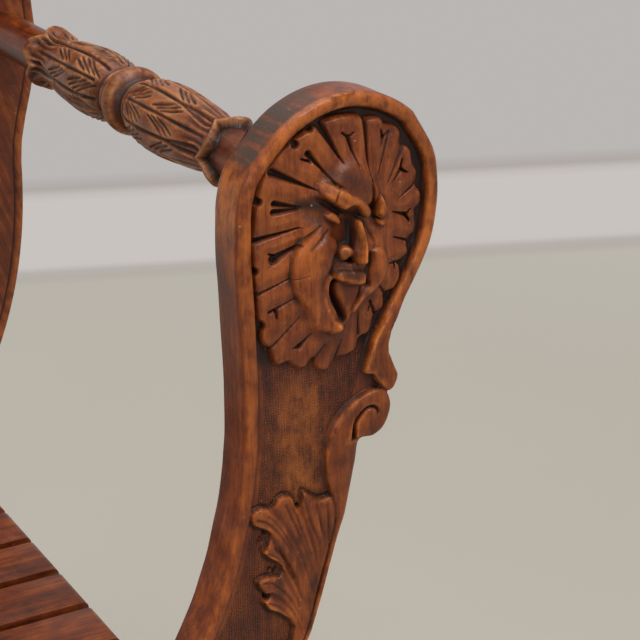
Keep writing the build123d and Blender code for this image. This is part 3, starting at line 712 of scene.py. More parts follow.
def boardTones(x, z, height):
    # wear and painted highlight on what stands proud, dark wax and painted shade in what lies deep,
    # a painted shadow all black in the gap round the collar
    mean = blurred(height, 14)
    wearAndHighlight = np.clip((height - mean) * 0.42, 0, 1) * (height > -3.6)
    # the rim's top is lighter higher up and to the left: wear and painted highlight
    rimTop = smoothStep(-1.5, -0.3, height) * smoothStep(-1.0, 0.0, mean - height + 0.6)
    wornAndLit = np.interp(z, [-300, -120, -20, 30], [0.08, 0.12, 0.45, 0.6]) * np.interp(x, [0, 40], [1, 0.6])
    wearAndHighlight = np.maximum(wearAndHighlight, rimTop * wornAndLit)
    shade = np.clip((mean - height) * 0.5, 0, 1)
    # painted shadow: near-black in the gap between the collar and the rim
    gap = smoothStep(-3.0, -5.6, height) * smoothStep(-97, -86, z) * (x < 60)
    # the middle of the sunk ground beside the leaf is lightened towards gold too
    glow = smoothStep(-2.5, -3.6, height) * smoothStep(-95, -120, z) * smoothStep(-300, -200, z)
    wearAndHighlight = np.maximum(wearAndHighlight, 0.42 * glow * np.exp(-(((x + 26) / 17) ** 2)))
    return wearAndHighlight, np.maximum(shade, 0.9 * gap)


def frontBoard(side):
    # carved height over the front plane at each point of the grid, closed behind as a plank
    frontY = chair["front"][side]
    grid, pairs = frontBoardGrid()
    grid[..., 0] = np.minimum(grid[..., 0], chair["headRadius"] - 0.05)
    x, z = grid[..., 0], grid[..., 1]
    height, ground = boardHeights(x, z, pairs)
    wearAndHighlight, shade = boardTones(x, z, height)
    front = np.stack([x + headX, frontY - height, z + headZ], -1)
    points, faces = plankShell(front, frontY + chair["boardThickness"])
    behind = points[x.size:] - (headX, frontY, headZ)
    extra = len(behind)
    # the side of the head: an old dark stain over its shoulder, worn gold and painted highlight below it
    turn = np.degrees(np.arctan2(behind[:, 2], behind[:, 0]))
    high = behind[:, 2] > -70
    stain = smoothStep(97, 106, turn) * smoothStep(160, 150, turn) * high
    turn = np.where(turn < 0, turn + 360, turn)
    rubbedAndLit = 0.7 * smoothStep(150, 162, turn) * smoothStep(208, 180, turn) * high
    # the shell behind the carved front takes a little painted shade
    tones = {"wearAndHighlight": np.concatenate([wearAndHighlight.ravel(), rubbedAndLit]), "shade": padded(shade, extra, 0.10),
             "stain": np.concatenate([np.zeros(x.size), stain]), "hatch": padded(ground * (z < -70), extra)}
    makePiece(f"frontBoard{side.title()}", points, faces, carvedWood, f"{side}_frame",
              [f"front_board_{side}"], tones, side == "left")


for side in ("right", "left"):
    frontBoard(side)
print("front boards carved")


# the mask: a relief that stands on a board, with a skirt down into the wood and a closed underside
def reliefShell(front, sinkY):
    # front is rings x sectors x 3 round a pole, its rings going outwards
    rings, sectors = front.shape[:2]
    flat = front.reshape(-1, 3)
    skirt = flat[-sectors:].copy()
    skirt[:, 1] = sinkY
    k = np.arange(sectors)
    n = np.roll(k, -1)
    edge, start = (rings - 1) * sectors, rings * sectors
    under, pole = np.full(sectors, start + sectors), np.full(sectors, start + sectors + 1)
    faces = [face[::-1] for face in gridFaces(rings, sectors, 0, True)]
    faces += np.stack([edge + n, edge + k, start + k, start + n], 1).tolist()
    faces += np.stack([under, start + n, start + k], 1).tolist()
    faces += np.stack([pole, k, n], 1).tolist()
    return np.vstack([flat, skirt, skirt.mean(0), flat[:sectors].mean(0)]), faces


def tonesFrom(heightAt, x, z, reach, gain, lowest):
    # wear and painted highlight from the height over its mean, painted shade and patina from the height under
    # it, the mean taken over a few millimetres on a plain raster
    xs = np.arange(x.min() - 6, x.max() + 7, 1.0)
    zs = np.arange(z.min() - 6, z.max() + 7, 1.0)
    mean = blurred(heightAt(*np.meshgrid(xs, zs)), reach)
    i = np.clip(x - xs[0], 0, len(xs) - 1.001)
    j = np.clip(z - zs[0], 0, len(zs) - 1.001)
    a, b = i.astype(int), j.astype(int)
    fa, fb = i - a, j - b
    smooth = (mean[b, a] * (1 - fa) * (1 - fb) + mean[b, a + 1] * fa * (1 - fb)
              + mean[b + 1, a] * (1 - fa) * fb + mean[b + 1, a + 1] * fa * fb)
    height = heightAt(x, z)
    wearAndHighlight = np.clip((height - smooth) * gain[0], 0, 1) * (height > lowest)
    return wearAndHighlight, np.clip((smooth - height) * gain[1], 0, 1)


mask = {
    "pole": (9.0, -12.0),  # where the rays of the collar come together
    "sectors": 700,
    "rings": 132,
    "skirt": 9.6,  # how far the underside lies behind the front plane
    "gain": (0.30, 0.5),  # wear and shade for a millimetre over or under the mean
    # lobed outer edge of the leaf collar, from the head centre, going round by the right
    "edge": ((-13.5, 49), (-8, 50.6), (-3, 51.8), (3.8, 51.8), (11.9, 50.8), (15.6, 48.6), (17.3, 47.9),
             (23.5, 48), (27.2, 46.4), (28.9, 43.4), (31.9, 42.6), (36.1, 41.7), (39, 39.5), (40.1, 35.3),
             (40.0, 31.7), (41.5, 29.2), (43.9, 28.5), (47.2, 26), (47.8, 21.6), (48.6, 17.6), (51, 14),
             (52.2, 9), (51.3, 5), (52.6, 1.8), (54.7, -1.4), (54.6, -6.8), (51.8, -10.2), (50.9, -13.5),
             (51.5, -19.8), (50.2, -25), (46.6, -28.8), (45.8, -31.9), (45.6, -36.8), (42.2, -40.4),
             (39.9, -42), (40.5, -46.5), (40.2, -51.8), (36.1, -57.6), (31.2, -59.2), (29.8, -63.2),
             (28.6, -69), (25.1, -71), (22.4, -75), (19.5, -82.4), (15, -84.2), (12.2, -86), (10, -91.6),
             (4.3, -93.8), (-1.5, -94.4), (-3.6, -95.8), (-6.4, -99.1), (-9.2, -101), (-13, -100.4),
             (-15.9, -97), (-17.2, -92), (-18.2, -91), (-20.8, -93.4), (-24, -96), (-27.4, -96), (-31.2, -93),
             (-34.2, -90.4), (-37.2, -90), (-39.9, -91.4), (-42.3, -90.8), (-44.2, -88), (-45.1, -83.9),
             (-46.2, -80), (-47.4, -79.1), (-50.1, -76.6), (-51.6, -72.2), (-51.4, -68.4), (-50.2, -66.6),
             (-50, -64.4), (-51, -62.4), (-53.6, -60.4), (-54.7, -54.6), (-55.4, -47.6), (-56, -31),
             (-56.4, -17), (-56, -4), (-54, 9), (-50, 20.5), (-43.5, 31), (-36, 38), (-27, 43.5),
             (-19, 46.6)),
    # cuts between the leaves: outer end, inner end, half width outside and inside, depth
    "cuts": ((-13.6, 49, 0.3, 25, 3.0, 0.4, 5.0), (4.3, 39, 9.3, 22, 1.5, 0.4, 3.4),
             (0.7, 42, 4.3, 38.6, 0.7, 0.8, 2.8), (8, 41, 4.3, 38.6, 0.7, 0.8, 2.8),
             (15.6, 50, 17.6, 12, 1.9, 0.4, 3.6), (26.6, 39.6, 27.6, 35, 0.7, 1.1, 3.0),
             (31.2, 38.2, 27.6, 35, 0.7, 1.1, 3.0), (27.6, 35, 26.4, 30, 1.2, 0.4, 2.4),
             (32, 37.6, 23.9, 13.3, 1.5, 0.3, 2.2), (43, 29.8, 30.7, 8.1, 2.1, 0.4, 2.8),
             (41.2, 20.4, 40, 14.8, 0.8, 1.1, 3.0), (45, 12, 40, 14.8, 0.7, 1.1, 3.0),
             (40.2, 15, 33.5, 7.2, 1.5, 0.3, 3.0), (52, 5.4, 39.2, -2, 1.4, 0.4, 2.8),
             (47.2, -10.4, 44, -13.4, 0.7, 1.2, 3.0), (46.8, -17.4, 44, -13.4, 0.7, 1.2, 3.0),
             (44.4, -13.2, 34.4, -9.6, 1.6, 0.4, 3.0), (48.8, -30.6, 35.6, -25.2, 1.1, 0.5, 2.8),
             (40.4, -41, 33, -41.2, 1.1, 0.6, 2.8), (36.6, -41, 36.4, -45.6, 1.2, 0.4, 2.8),
             (31, -60.4, 24.8, -51.4, 1.2, 0.4, 2.6), (23, -68.6, 19.6, -61.6, 1.2, 0.8, 3.0),
             (18.8, -68, 20.6, -63.6, 0.7, 1.2, 3.0), (25.1, -72.6, 22, -68, 1.3, 0.8, 3.0),
             (12.4, -82, 11.6, -67, 1.2, 0.4, 2.6), (-20.9, 32.6, -12.8, 23, 2.2, 0.8, 4.4),
             (-12.8, 23, -6.6, 14.6, 0.9, 0.6, 2.2), (-25.4, 30.2, -19.6, 28, 0.5, 1.2, 2.4),
             (-43, 24.6, -17.1, 11.7, 2.9, 0.4, 4.8), (-42.4, 6.8, -27, 2.6, 2.2, 0.9, 4.4),
             (-43, 2.0, -27, 1.9, 2.2, 0.9, 4.4), (-57, -13.6, -26, -8.7, 2.2, 0.4, 4.4),
             (-43.4, -25.6, -27.4, -18.4, 3.3, 0.5, 4.8), (-47, -21.6, -41.4, -24.2, 0.4, 1.2, 3.2),
             (-46, -29.6, -41.4, -26.2, 0.4, 1.2, 3.2), (-56, -46.2, -33.6, -38.1, 1.3, 0.4, 3.2),
             (-33.6, -38.1, -24.5, -35.7, 0.5, 0.2, 0.9), (-54.6, -44.6, -54.6, -54.6, 1.3, 0.6, 3.6),
             (-46, -57, -30.5, -50.7, 1.2, 0.4, 3.2), (-41.3, -62, -42.4, -56.5, 0.5, 1.1, 2.8),
             (-45.6, -80, -27.8, -63.2, 1.1, 0.4, 2.8), (-31.8, -82, -27, -81, 0.4, 1.3, 3.0),
             (-27.4, -81.4, -20, -74.5, 2.0, 0.4, 3.8), (-17.2, -92, -10.2, -83.3, 1.2, 0.4, 2.8),
             (-3.6, -95, 0.7, -82.4, 1.3, 0.4, 2.8)),
    # round notches where two leaf ends meet: x, z, radius
    "notches": ((-52.6, 9.4, 2.6), (-56.4, -31, 3.2), (-51.4, -64.8, 2.6), (-29, 39, 2.6), (-19, 47, 2.4),
                (29, 44.4, 1.6), (41, 30.4, 1.4), (52.4, 4.6, 1.4), (51.6, -11.4, 1.6), (39.2, -41.6, 1.5),
                (30, -60.4, 1.6)),
}
face = {
    "edge": ((-8, 27), (-16, 17), (-23, 9), (-29, 3), (-29, -4), (-27.4, -10), (-27, -15.6), (-30.5, -20.4),
             (-33.1, -25.9), (-34.2, -31.6), (-33.9, -39), (-32.2, -46.2), (-29, -54.5), (-27, -61.8),
             (-25.4, -68.9), (-22, -75), (-14, -78), (-6, -79), (0.5, -77.6), (5, -70.5), (13.3, -60.6),
             (21.8, -54.8), (28.6, -46.8), (30, -37.4), (28.6, -29), (29, -20), (30.5, -10), (31, 0), (28, 8),
             (22, 18), (14, 30), (3, 33)),
    # ground form under the carved shapes: place from the head centre and height over the front plane
    "forms": ((-2, 27, 0.6), (12, 29, 0.2), (4, 36, -2.2), (24, 20, -0.8), (-10, 18, 3.8), (-2, 16, 5.0),
              (4, 14, 5.6), (12, 7, 6.8), (15.5, 2, 6.8), (7, 21, 3.4), (13, 16, 4.4), (21, 12, 2.5),
              (29, 6, 0.5), (-15, 10, 4.5), (-4, 6, 6), (7, 0, 5), (18.5, -2, 0), (17, -8, -2.5),
              (-8, -7, 0.5), (-16, -3, 0.2), (-22, 3, -2.4), (-28, 1, -2.4), (0, -9, -2.8), (4.6, -13, -3),
              (25, -12, -1), (19, -14, -1.2), (30, -14, -1.0), (-24, -6, 0.4), (-28, -16, 0.4),
              (4.0, -20, -2.4), (15.5, -18, 0.5), (20, -24, 2.8), (27, -25, 1.8), (0, -29, -0.8),
              (15, -33, 1.8), (16, -44, 0.5), (-12, -13, 3.8), (-18, -9, 3.0), (-21, -13, 3.4),
              (-30, -36, 0.5), (1, -37, 3.6), (-5, -38, 2.2), (9, -39, 3.6), (-20, -60, 1.5), (-22, -70, 0.5),
              (-12, -76, 0.5), (0, -79, 0), (8, -64, 0.5), (20, -54, -0.5), (28, -40, -0.5),
              (-32, -46, -0.5)),
    # carved shapes: outline, height at the outline, height inside, how far in it is reached
    "shapes": ((((-17.4, -8), (-10.9, -12.4), (-4.6, -20), (-4.6, -25.4), (-5.4, -31), (-7.4, -36.3),
                 (-10.5, -40), (-12.6, -43.6), (-12.8, -50.2), (-9.6, -60.8), (-4.6, -71.9), (-3.4, -76),
                 (-8, -77.2), (-14, -77), (-21, -74), (-25.4, -68), (-27.6, -60), (-30, -52.7),
                 (-33.2, -44.5), (-34.4, -35), (-33.4, -26), (-31, -20.6), (-26.6, -14.6), (-21.5, -10)),
                -0.6, 6.6, 12.5),
               (((16.4, -28.4), (21.4, -27), (26.5, -29.4), (29.4, -37.6), (28.1, -46.2), (21.8, -53.6),
                 (13.3, -59.3), (5, -67.8), (0.8, -74.8), (-1.9, -76.6), (-1.6, -72), (5.4, -61.6),
                 (10.6, -53), (15, -49), (17, -40.6), (17.6, -33)), 0.2, 5.2, 5.5),
               (((-16.1, 15.6), (-12, 16.4), (-5, 13), (4.2, 7.6), (10.9, 2.6), (14.4, -1.6), (14.9, -5),
                 (12.6, -7.2), (10.4, -7), (8.6, -3.8), (6.3, -0.4), (3, 0.9), (-0.4, 0), (-3, -0.4),
                 (-6.4, 2.2), (-9.8, 4.2), (-13.7, 7.6), (-16.6, 11.3)), 3.6, 8.8, 2.8),
               (((23.3, 4.2), (21.4, 1.7), (20.1, -3.3), (20.2, -7.3), (23.1, -9.9), (26.4, -8.3),
                 (27.4, -4.4), (25.8, 0.3)), 1.4, 8.0, 3.6),
               (((20.9, -10.4), (24.6, -11.4), (28.8, -13.8), (28.6, -16.4), (25, -15.6), (22, -13.4)), 0.4,
                3.6, 1.8),
               (((-13.4, -2.8), (-9.5, -0.9), (-5.6, -2.9), (-3.6, -6.9), (-4.4, -9.4), (-8.7, -7.6),
                 (-12.6, -5)), 1.0, 4.6, 2.2),
               (((7.4, -8.4), (10, -9.2), (12, -17.1), (12.9, -22), (12.2, -28.3), (11.2, -33.6),
                 (8.4, -34.9), (5.2, -33), (4.4, -29.6), (4.6, -24.8), (5.4, -20.5), (5.8, -15.9),
                 (6.4, -10.8)), 2.6, 6.4, 3.2),
               (((-4.8, -27.6), (-4, -24.6), (-1, -23.2), (2.6, -23.8), (5, -27), (4.6, -31), (1, -31.4),
                 (-3, -31)), 3.2, 5.0, 3.0),
               (((-7.9, -38.6), (-5, -36.6), (2.9, -37.6), (10.8, -39.7), (12.8, -43.2), (11, -47),
                 (6.8, -47.2), (1.3, -45.4), (-4.5, -42.9), (-7.8, -40.8)), 3.4, 7.2, 2.6),
               (((-9.6, -70), (-6.6, -67.4), (-2.6, -68.8), (-0.8, -72.6), (-1.6, -77), (-5.6, -78.6),
                 (-9.6, -76.6), (-10.8, -73.2)), 1.2, 8.0, 4.6)),
    # swellings (+) and grooves (-) along lines: points, widths, heights
    "lines": ((((7.6, -9), (9.1, -15.6), (9.6, -23.2), (8.8, -31.6)), (1.5, 1.8, 2.2, 2.8),
               (0.6, 3.4, 5.4, 6.3)),
              (((-6.8, -41.2), (0, -43.4), (6.5, -45.8), (10.6, -46)), (1.2, 1.5, 1.7, 1.3),
               (0.4, 1.2, 1.8, 1.2)),
              (((-11.6, -43), (-13.4, -52), (-10.4, -61.8), (-6.3, -69.5)), (1.8, 2.2, 2.3, 2.2),
               (0.6, 1.4, 2.2, 2.0)),
              (((-2.4, -27.6), (2.6, -26), (6.6, -27.4)), (2.0, 2.4, 2.0), (0.4, 1.5, 0.8)),
              (((3.9, -34.7), (4.0, -41)), (0.8, 0.8), (1.2, 0.4)),
              (((16.6, 49), (17.6, 22), (18.2, 11.9), (19.4, 0)), (0.9, 0.9, 1.0, 1.0), (0.7, 1.0, 1.8, 1.6)),
              (((17.3, 12.3), (17.2, 2), (17, -8)), (0.8, 1.5, 1.9), (-1.2, -3.5, -3.5)),
              (((-16.6, -9), (-22, -12.6), (-26.9, -16.4), (-30.9, -20.9), (-33.5, -26.2), (-34.6, -31.8),
                (-34.2, -39), (-33, -45)), (0.6, 0.8, 0.9, 0.9, 0.9, 0.9, 0.8, 0.5),
               (-1.4, -2.2, -2.4, -2.2, -2.2, -2.0, -1.6, -0.8)),
              (((-11.7, -12.7), (-17.4, -17), (-23.5, -21.5)), (1.5, 1.7, 1.0), (-1.4, -1.7, -0.6)),
              (((-4.6, 12.4), (-7.6, 10), (-8.7, 6.9), (-8.8, 2.6)), (0.6, 0.7, 0.7, 0.6),
               (-1.2, -2.0, -2.0, -1.2)),
              (((-10.8, 17.9), (-7.5, 14.8), (-2.2, 11.6)), (0.9, 1.1, 0.8), (-1.8, -2.2, -0.8)),
              (((-29, 5.6), (-25.9, 7.6), (-20.2, 8.0), (-13, 4.4), (-6.5, -0.6), (-1.5, -4.2)),
               (1.2, 1.8, 2.0, 1.9, 1.8, 1.8), (-1.6, -3.0, -3.4, -3.4, -3.2, -2.8)),
              (((2.6, -31.4), (4.2, -33)), (1.4, 1.4), (-5.0, -5.0)),
              (((14.2, -48.2), (15.2, -48.8)), (1.4, 1.4), (-4.0, -4.0)),
              (((17.4, -31), (16.6, -38), (14.4, -43)), (1.4, 1.5, 1.4), (-1.4, -1.8, -1.6)),
              (((14.5, -12), (16.5, -19), (19, -24)), (1.2, 1.4, 1.0), (-1.0, -1.6, -0.8)),
              (((-6.4, -28), (-8, -34), (-9.6, -39)), (1.3, 1.6, 1.4), (-2.4, -2.0, -2.2))),
    "mouth": ((-7, -41.6), (-4.1, -44), (1.8, -47), (7.7, -49), (13.2, -50.3), (11.1, -54.9), (6.9, -61.1),
              (3.6, -67.4), (1.1, -70.4), (-1.4, -70.4), (-5.4, -62.6), (-9.6, -54.1), (-10.6, -47.8),
              (-9.4, -43.4)),
    "mouthLeft": ((-6.6, -43), (-7.6, -48), (-6.9, -53.8), (-2.8, -62.7), (0.6, -69.6)),
    "mouthRight": ((11, -51.4), (8.1, -59.6), (4.6, -67.1)),
    # worn places with painted highlights, and waxed places with painted shade: line, reach, strength
    "wornAndLit": ((((-13.7, 14.6), (-5, 10.2), (3, 5), (9, 0.4), (12.6, -3.8)), 2.4, 0.8),
             (((23.6, 0), (23.8, -6)), 2.2, 0.8),
             (((9.8, -12), (10.2, -24), (9.2, -33)), 2.0, 0.95),
             (((2, -45), (9.6, -46.4)), 1.2, 0.9),
             (((-13.2, -53), (-9.6, -63), (-5.6, -71)), 1.7, 0.6),
             (((-5.6, -73), (-4.4, -74)), 3.0, 0.7),
             (((-19, -29), (-19, -32)), 9.0, 0.42),
             (((23, -32), (22, -42)), 5.0, 0.3),
             (((-9.6, -2.6), (-6, -6.6)), 1.5, 0.5),
             (((-22, -50), (-16, -66)), 7.0, 0.22)),
    "waxAndShade": ((((-9, 19), (3, 17), (13, 8)), 6.5, 0.62),
              (((-28, 4), (-14, 3)), 4.8, 0.95),
              (((-23, -3), (-17, -7)), 4.0, 0.6),
              (((4.0, -10.6), (4.6, -16), (3.8, -22.4)), 2.7, 1.0),
              (((-7, -34), (-5.4, -30)), 2.2, 0.85),
              (((-4, -37), (11, -40)), 3.4, 0.72),
              (((14.2, -48.4), (15, -49)), 1.9, 0.95),
              (((-3, -3.6), (6, -4.6), (12.4, -9)), 2.6, 0.95),
              (((17.4, 1), (17.6, -10)), 2.0, 1.0),
              (((16, -13), (17, -19)), 3.0, 0.55),
              (((-12, -12.9), (-23, -21)), 1.5, 0.45),
              (((-7, -44.4), (-7.4, -50), (-2, -62), (1, -69)), 1.7, 0.9),
              (((27, -7), (30, -12)), 2.2, 0.6)),
}


def thinPlate(controls, x, z):
    # thin-plate spline through the control heights: sum of w r^2 log r plus a plane
    c = np.asarray(controls, float)
    n = len(c)
    r = np.hypot(c[:, None, 0] - c[None, :, 0], c[:, None, 1] - c[None, :, 1])
    system = np.zeros((n + 3, n + 3))
    system[:n, :n] = r * r * np.log(r + 1e-9) + np.eye(n) * 6.0
    system[:n, n:] = np.column_stack([np.ones(n), c[:, :2]])
    system[n:, :n] = system[:n, n:].T
    weight = np.linalg.solve(system, np.concatenate([c[:, 2], np.zeros(3)]))
    out = weight[n] + weight[n + 1] * x + weight[n + 2] * z
    for k in range(n):
        r2 = (x - c[k, 0]) ** 2 + (z - c[k, 1]) ** 2
        out = out + weight[k] * 0.5 * r2 * np.log(r2 + 1e-9)
    return out


def faceForm(x, z):
    # ground form, then every carved shape by the greater height, then grooves and swellings, then the mouth
    form = thinPlate(face["forms"], x, z)
    for outline, edge, top, reach in face["shapes"]:
        depth = insideNear(x, z, evenCurve(outline, 60, True))
        shape = domed(depth, top, edge, reach) - 10 * smoothStep(0.2, -0.9, depth)
        gap = np.clip(0.5 + (shape - form) / 1.4, 0, 1)
        form = form + (shape - form) * gap + 0.35 * gap * (1 - gap)
    for points, widths, heights in face["lines"]:
        form += ridge(x, z, points, widths, heights)
    mouthIn = inside(x, z, evenCurve(face["mouth"], 90, True))
    tongue = 2.2 - 7.0 * np.exp(-((toLine(x, z, face["mouthLeft"])[0] / 2.3) ** 2))
    tongue -= 2.0 * np.exp(-((toLine(x, z, face["mouthRight"])[0] / 0.9) ** 2))
    tongue -= 1.8 * np.exp(-(((z + 44.5 + 0.36 * x) / 2.0) ** 2))
    opening = smoothStep(-0.4, 0.7, mouthIn)
    return form * (1 - opening) + tongue * opening


def collarCuts(x, z):
    # depth of the cuts, deepest along their middle, and the distance to the nearest one
    nearest = np.full(x.shape, 9.0)
    depth = np.zeros(x.shape)
    for x0, z0, x1, z1, wide, narrow, deep in mask["cuts"]:
        off, share, _ = toLine(x, z, [(x0, z0), (x1, z1)])
        half = wide + (narrow - wide) * share
        slope = np.clip(1.15 - off / (half + 1e-9), 0, 1)
        depth = np.maximum(depth, deep * (0.45 + 0.55 * half / (wide + 1e-9)) * slope)
        nearest = np.minimum(nearest, off - half)
    for nx, nz, radius in mask["notches"]:
        depth = np.maximum(depth, 4.5 * (1 - smoothStep(0.55, 1.1, np.hypot(x - nx, z - nz) / radius)))
    return depth, nearest


def maskHeights(x, z):
    # leaf collar with its cuts, and the grimacing leaf mask that rises out of it
    faceIn = inside(x, z, evenCurve(face["edge"], 160, True))
    edgeIn = inside(x, z, evenCurve(mask["edge"], 500, True))
    depth, nearest = collarCuts(x, z)
    collar = -4.3 + 2.6 * smoothStep(-34, 0, faceIn) + 1.3 * smoothStep(0, 6, nearest)
    collar += 0.9 * (domed(edgeIn, 1, -1, 4.5) - 1) - depth
    form = faceForm(x, z) - depth * smoothStep(-4, 8, z) * 0.8 - depth * (nearest < 0) * (z < -30) * (x < -20)
    crisp = np.interp(z, [-78, -60, -46, -8, 8], [9.0, 7.0, 1.6, 2.2, 11.0])
    crisp = np.where(x > 6, np.interp(z, [-60, -30, -10], [2.0, 3.0, 9.0]), crisp)
    blend = smoothStep(0, 1, (faceIn + 0.8) / crisp)
    return np.clip(collar * (1 - blend) + form * blend, -8.6, 12.9)


def paintedTone(x, z, places):
    # strength * exp(-(distance / reach)^2) of the strongest place
    tone = np.zeros(x.shape)
    for line, reach, strength in places:
        tone = np.maximum(tone, strength * np.exp(-((toLine(x, z, line)[0] / reach) ** 2)))
    return tone


def addMask(side):
    # rings from the pole to the lobed edge, raised by the mask's heights, with painted wear and highlights,
    # and painted wax and shade
    frontY = chair["front"][side]
    edge = evenCurve(mask["edge"], 1400, True)[:-1]
    poleX, poleZ = mask["pole"]
    turn = np.arctan2(edge[:, 1] - poleZ, edge[:, 0] - poleX) % (2 * np.pi)
    reach = np.hypot(edge[:, 0] - poleX, edge[:, 1] - poleZ)
    order = np.argsort(turn)
    sector = np.linspace(0, 2 * np.pi, mask["sectors"], endpoint=False)
    outer = np.interp(sector, turn[order], reach[order], period=2 * np.pi)
    for _ in range(2):
        outer = (np.roll(outer, 1) + outer + np.roll(outer, -1)) / 3
    share = np.linspace(0.006, 1, mask["rings"] + 1)[:, None]
    x = poleX + share * outer * np.cos(sector)
    z = poleZ + share * outer * np.sin(sector)
    height = maskHeights(x, z)
    fall = 2.0 * smoothStep(0.974, 1.0, share)
    wearAndHighlight, shade = tonesFrom(maskHeights, x, z, 9, mask["gain"], -3.0)
    # painted shade: near-black in the bottoms of the collar's cuts
    shade = np.maximum(shade, np.clip(collarCuts(x, z)[0] / 2.6, 0, 1) * 0.95)
    wearAndHighlight = np.maximum(wearAndHighlight, paintedTone(x, z, face["wornAndLit"]))
    shade = np.maximum(shade, paintedTone(x, z, face["waxAndShade"]))
    faceIn = inside(x, z, evenCurve(face["edge"], 160, True))
    shade = np.maximum(shade, 0.16 * smoothStep(2, -4, faceIn))
    front = np.stack([x + headX, frontY - height + fall, z + headZ], -1)
    points, faces = reliefShell(front, frontY + mask["skirt"])
    extra = len(points) - x.size
    # the skirt and underside behind the mask take painted shade
    tones = {"wearAndHighlight": padded(wearAndHighlight, extra), "shade": padded(shade, extra, 0.6)}
    makePiece(f"leafMask{side.title()}", points, faces, carvedWood, f"{side}_frame",
              (), tones, side == "left")


for side in ("right", "left"):
    addMask(side)
print("masks carved")


# turned work: a profile revolved about a line along Y
def revolved(ys, radii, centre, columns):
    # points at centre + radius * (cos, sin) for every place along the line; both ends closed by a fan
    turn = np.linspace(0, 2 * np.pi, columns, endpoint=False)
    radii = np.broadcast_to(np.asarray(radii, float).reshape(len(ys), -1), (len(ys), columns))
    x = centre[0] + radii * np.cos(turn)
    z = centre[1] + radii * np.sin(turn)
    y = np.repeat(np.asarray(ys, float)[:, None], columns, 1)
    body = np.stack([x, y, z], -1).reshape(-1, 3)
    ends = [(centre[0], ys[0], centre[1]), (centre[0], ys[-1], centre[1])]
    k = np.arange(columns)
    n = (k + 1) % columns
    first, last = np.full(columns, len(body)), np.full(columns, len(body) + 1)
    top = (len(ys) - 1) * columns
    faces = gridFaces(len(ys), columns, 0, True)
    faces += np.stack([first, k, n], 1).tolist() + np.stack([last, top + n, top + k], 1).tolist()
    if ys[-1] > ys[0]:
        faces = [face[::-1] for face in faces]
    return np.vstack([body, ends]), faces


rail = {
    "drop": 3.0,  # the rail's own line under the middle of the head
    "leaves": 5,
    "scallop": 11.0,  # how far the lip draws back between two leaf tips
    "facing": 148.0,  # angle of one leaf's rib, from +x towards +z
    "columns": 180,
    "rows": ((0, 20, 0.9), (20, 30, 0.9), (30, 140, 0.95), (140, 156, 0.62)),  # from, to and spacing
    "neckRows": (157, 9.0),  # from, and spacing, to the end
    "tenon": 1.5,  # how far the ends go into the boards
    # radius at distances from the middle of the rail
    "profile": ((0, 24.2), (3, 23.9), (6, 22.4), (7.8, 19.6), (8.6, 18.2), (9.6, 17.8), (11, 16.2),
                (13.5, 14.9), (15.5, 15.6), (17, 17.6), (18, 18.4), (19.6, 18.6), (20.2, 17.4), (23, 19.4),
                (30, 22.3), (40, 24.4), (52, 25.2), (66, 25), (84, 23.9), (102, 22.3), (120, 20.3),
                (134, 18.9), (141, 19.2), (146, 20.6), (149.5, 22.4), (152, 23), (153.8, 22.2), (154.6, 20.2),
                (154.2, 17.6), (155, 16.6), (158, 16.8)),
    "neck": 16.6,
    # half a leaf's width in degrees at distances from the ring
    "spread": ((20, 36), (96, 36), (112, 30), (128, 24), (142, 27), (150, 33)),
    # gouge marks in a leaf: start and end as (distance from the ring, degrees from the rib)
    "gouges": ((25, 9, 45, 31), (30, 8, 52, 30), (36, 7, 58, 26), (43, 6, 61, 19), (70, 9, 91, 30),
               (75, 7, 98, 28), (82, 6, 103, 23)),
}


def leafCut(y, angle):
    # cuts of a leaf that points away from the ring: y from the ring, angle in degrees from the leaf's rib
    spread = graphAt(rail["spread"], y)
    beside = np.abs(angle)
    toEdge = (beside - spread) * 0.40  # in millimetres, about
    out = -2.3 * np.exp(-((toEdge / 1.25) ** 2)) * smoothStep(21, 27, y) * smoothStep(151, 147, y)
    between = smoothStep(0.2, 1.6, toEdge) * smoothStep(98, 114, y) * smoothStep(153, 149, y)
    out -= 3.2 * between
    out += 1.6 * between * np.exp(-(((beside - 36) * 0.42 / 2.4) ** 2))
    out += 0.7 * np.exp(-(((toEdge + 1.6) / 1.1) ** 2)) * smoothStep(98, 120, y) * smoothStep(151, 146, y)
    fold = smoothStep(104, 126, y) * smoothStep(150, 142, y) * (beside < spread)
    out -= 1.5 * fold * np.exp(-(((beside - 0.55 * spread) * 0.42 / 2.6) ** 2))
    rib = smoothStep(26, 30, y) * smoothStep(144, 132, y)
    ribWidth = np.interp(y, [26, 40, 90, 125], [1.8, 1.2, 0.9, 2.0])
    out -= 2.2 * np.exp(-((beside * 0.42 / ribWidth) ** 2)) * rib
    out += 1.2 * np.exp(-((beside * 0.42 / 2.6) ** 2)) * smoothStep(136, 144, y) * smoothStep(153, 148, y)
    for y0, a0, y1, a1 in rail["gouges"]:
        stroke = [(y0, a0 * 0.42), ((y0 + y1) / 2 + 0.8, (a0 + a1) * 0.21), (y1, a1 * 0.42)]
        off, share, _ = toLine(y, beside * 0.42, stroke)
        out -= 2.0 * np.exp(-((off / (0.4 + 1.15 * np.sin(np.pi * np.clip(share, 0.05, 0.95)))) ** 2))
    return out


def railRadii(y, angle):
    # turned profile plus the leaves, which run from the ring out to both lips
    step = 360 / rail["leaves"]
    fromRib = (angle - rail["facing"] + step / 2) % step - step / 2
    between = (np.abs(fromRib) / (step / 2)) ** 1.8
    drawn = np.abs(y) + rail["scallop"] * between * smoothStep(112, 138, np.abs(y))
    radius = graphAt(rail["profile"], drawn) + 1.4 * (1 - between) * np.exp(-(((np.abs(y) - 151) / 4) ** 2))
    cut = leafCut(np.abs(y), fromRib) * smoothStep(152, 144, drawn)
    return np.maximum(radius + cut, np.where(np.abs(y) > 120, rail["neck"] - 0.4, 0))


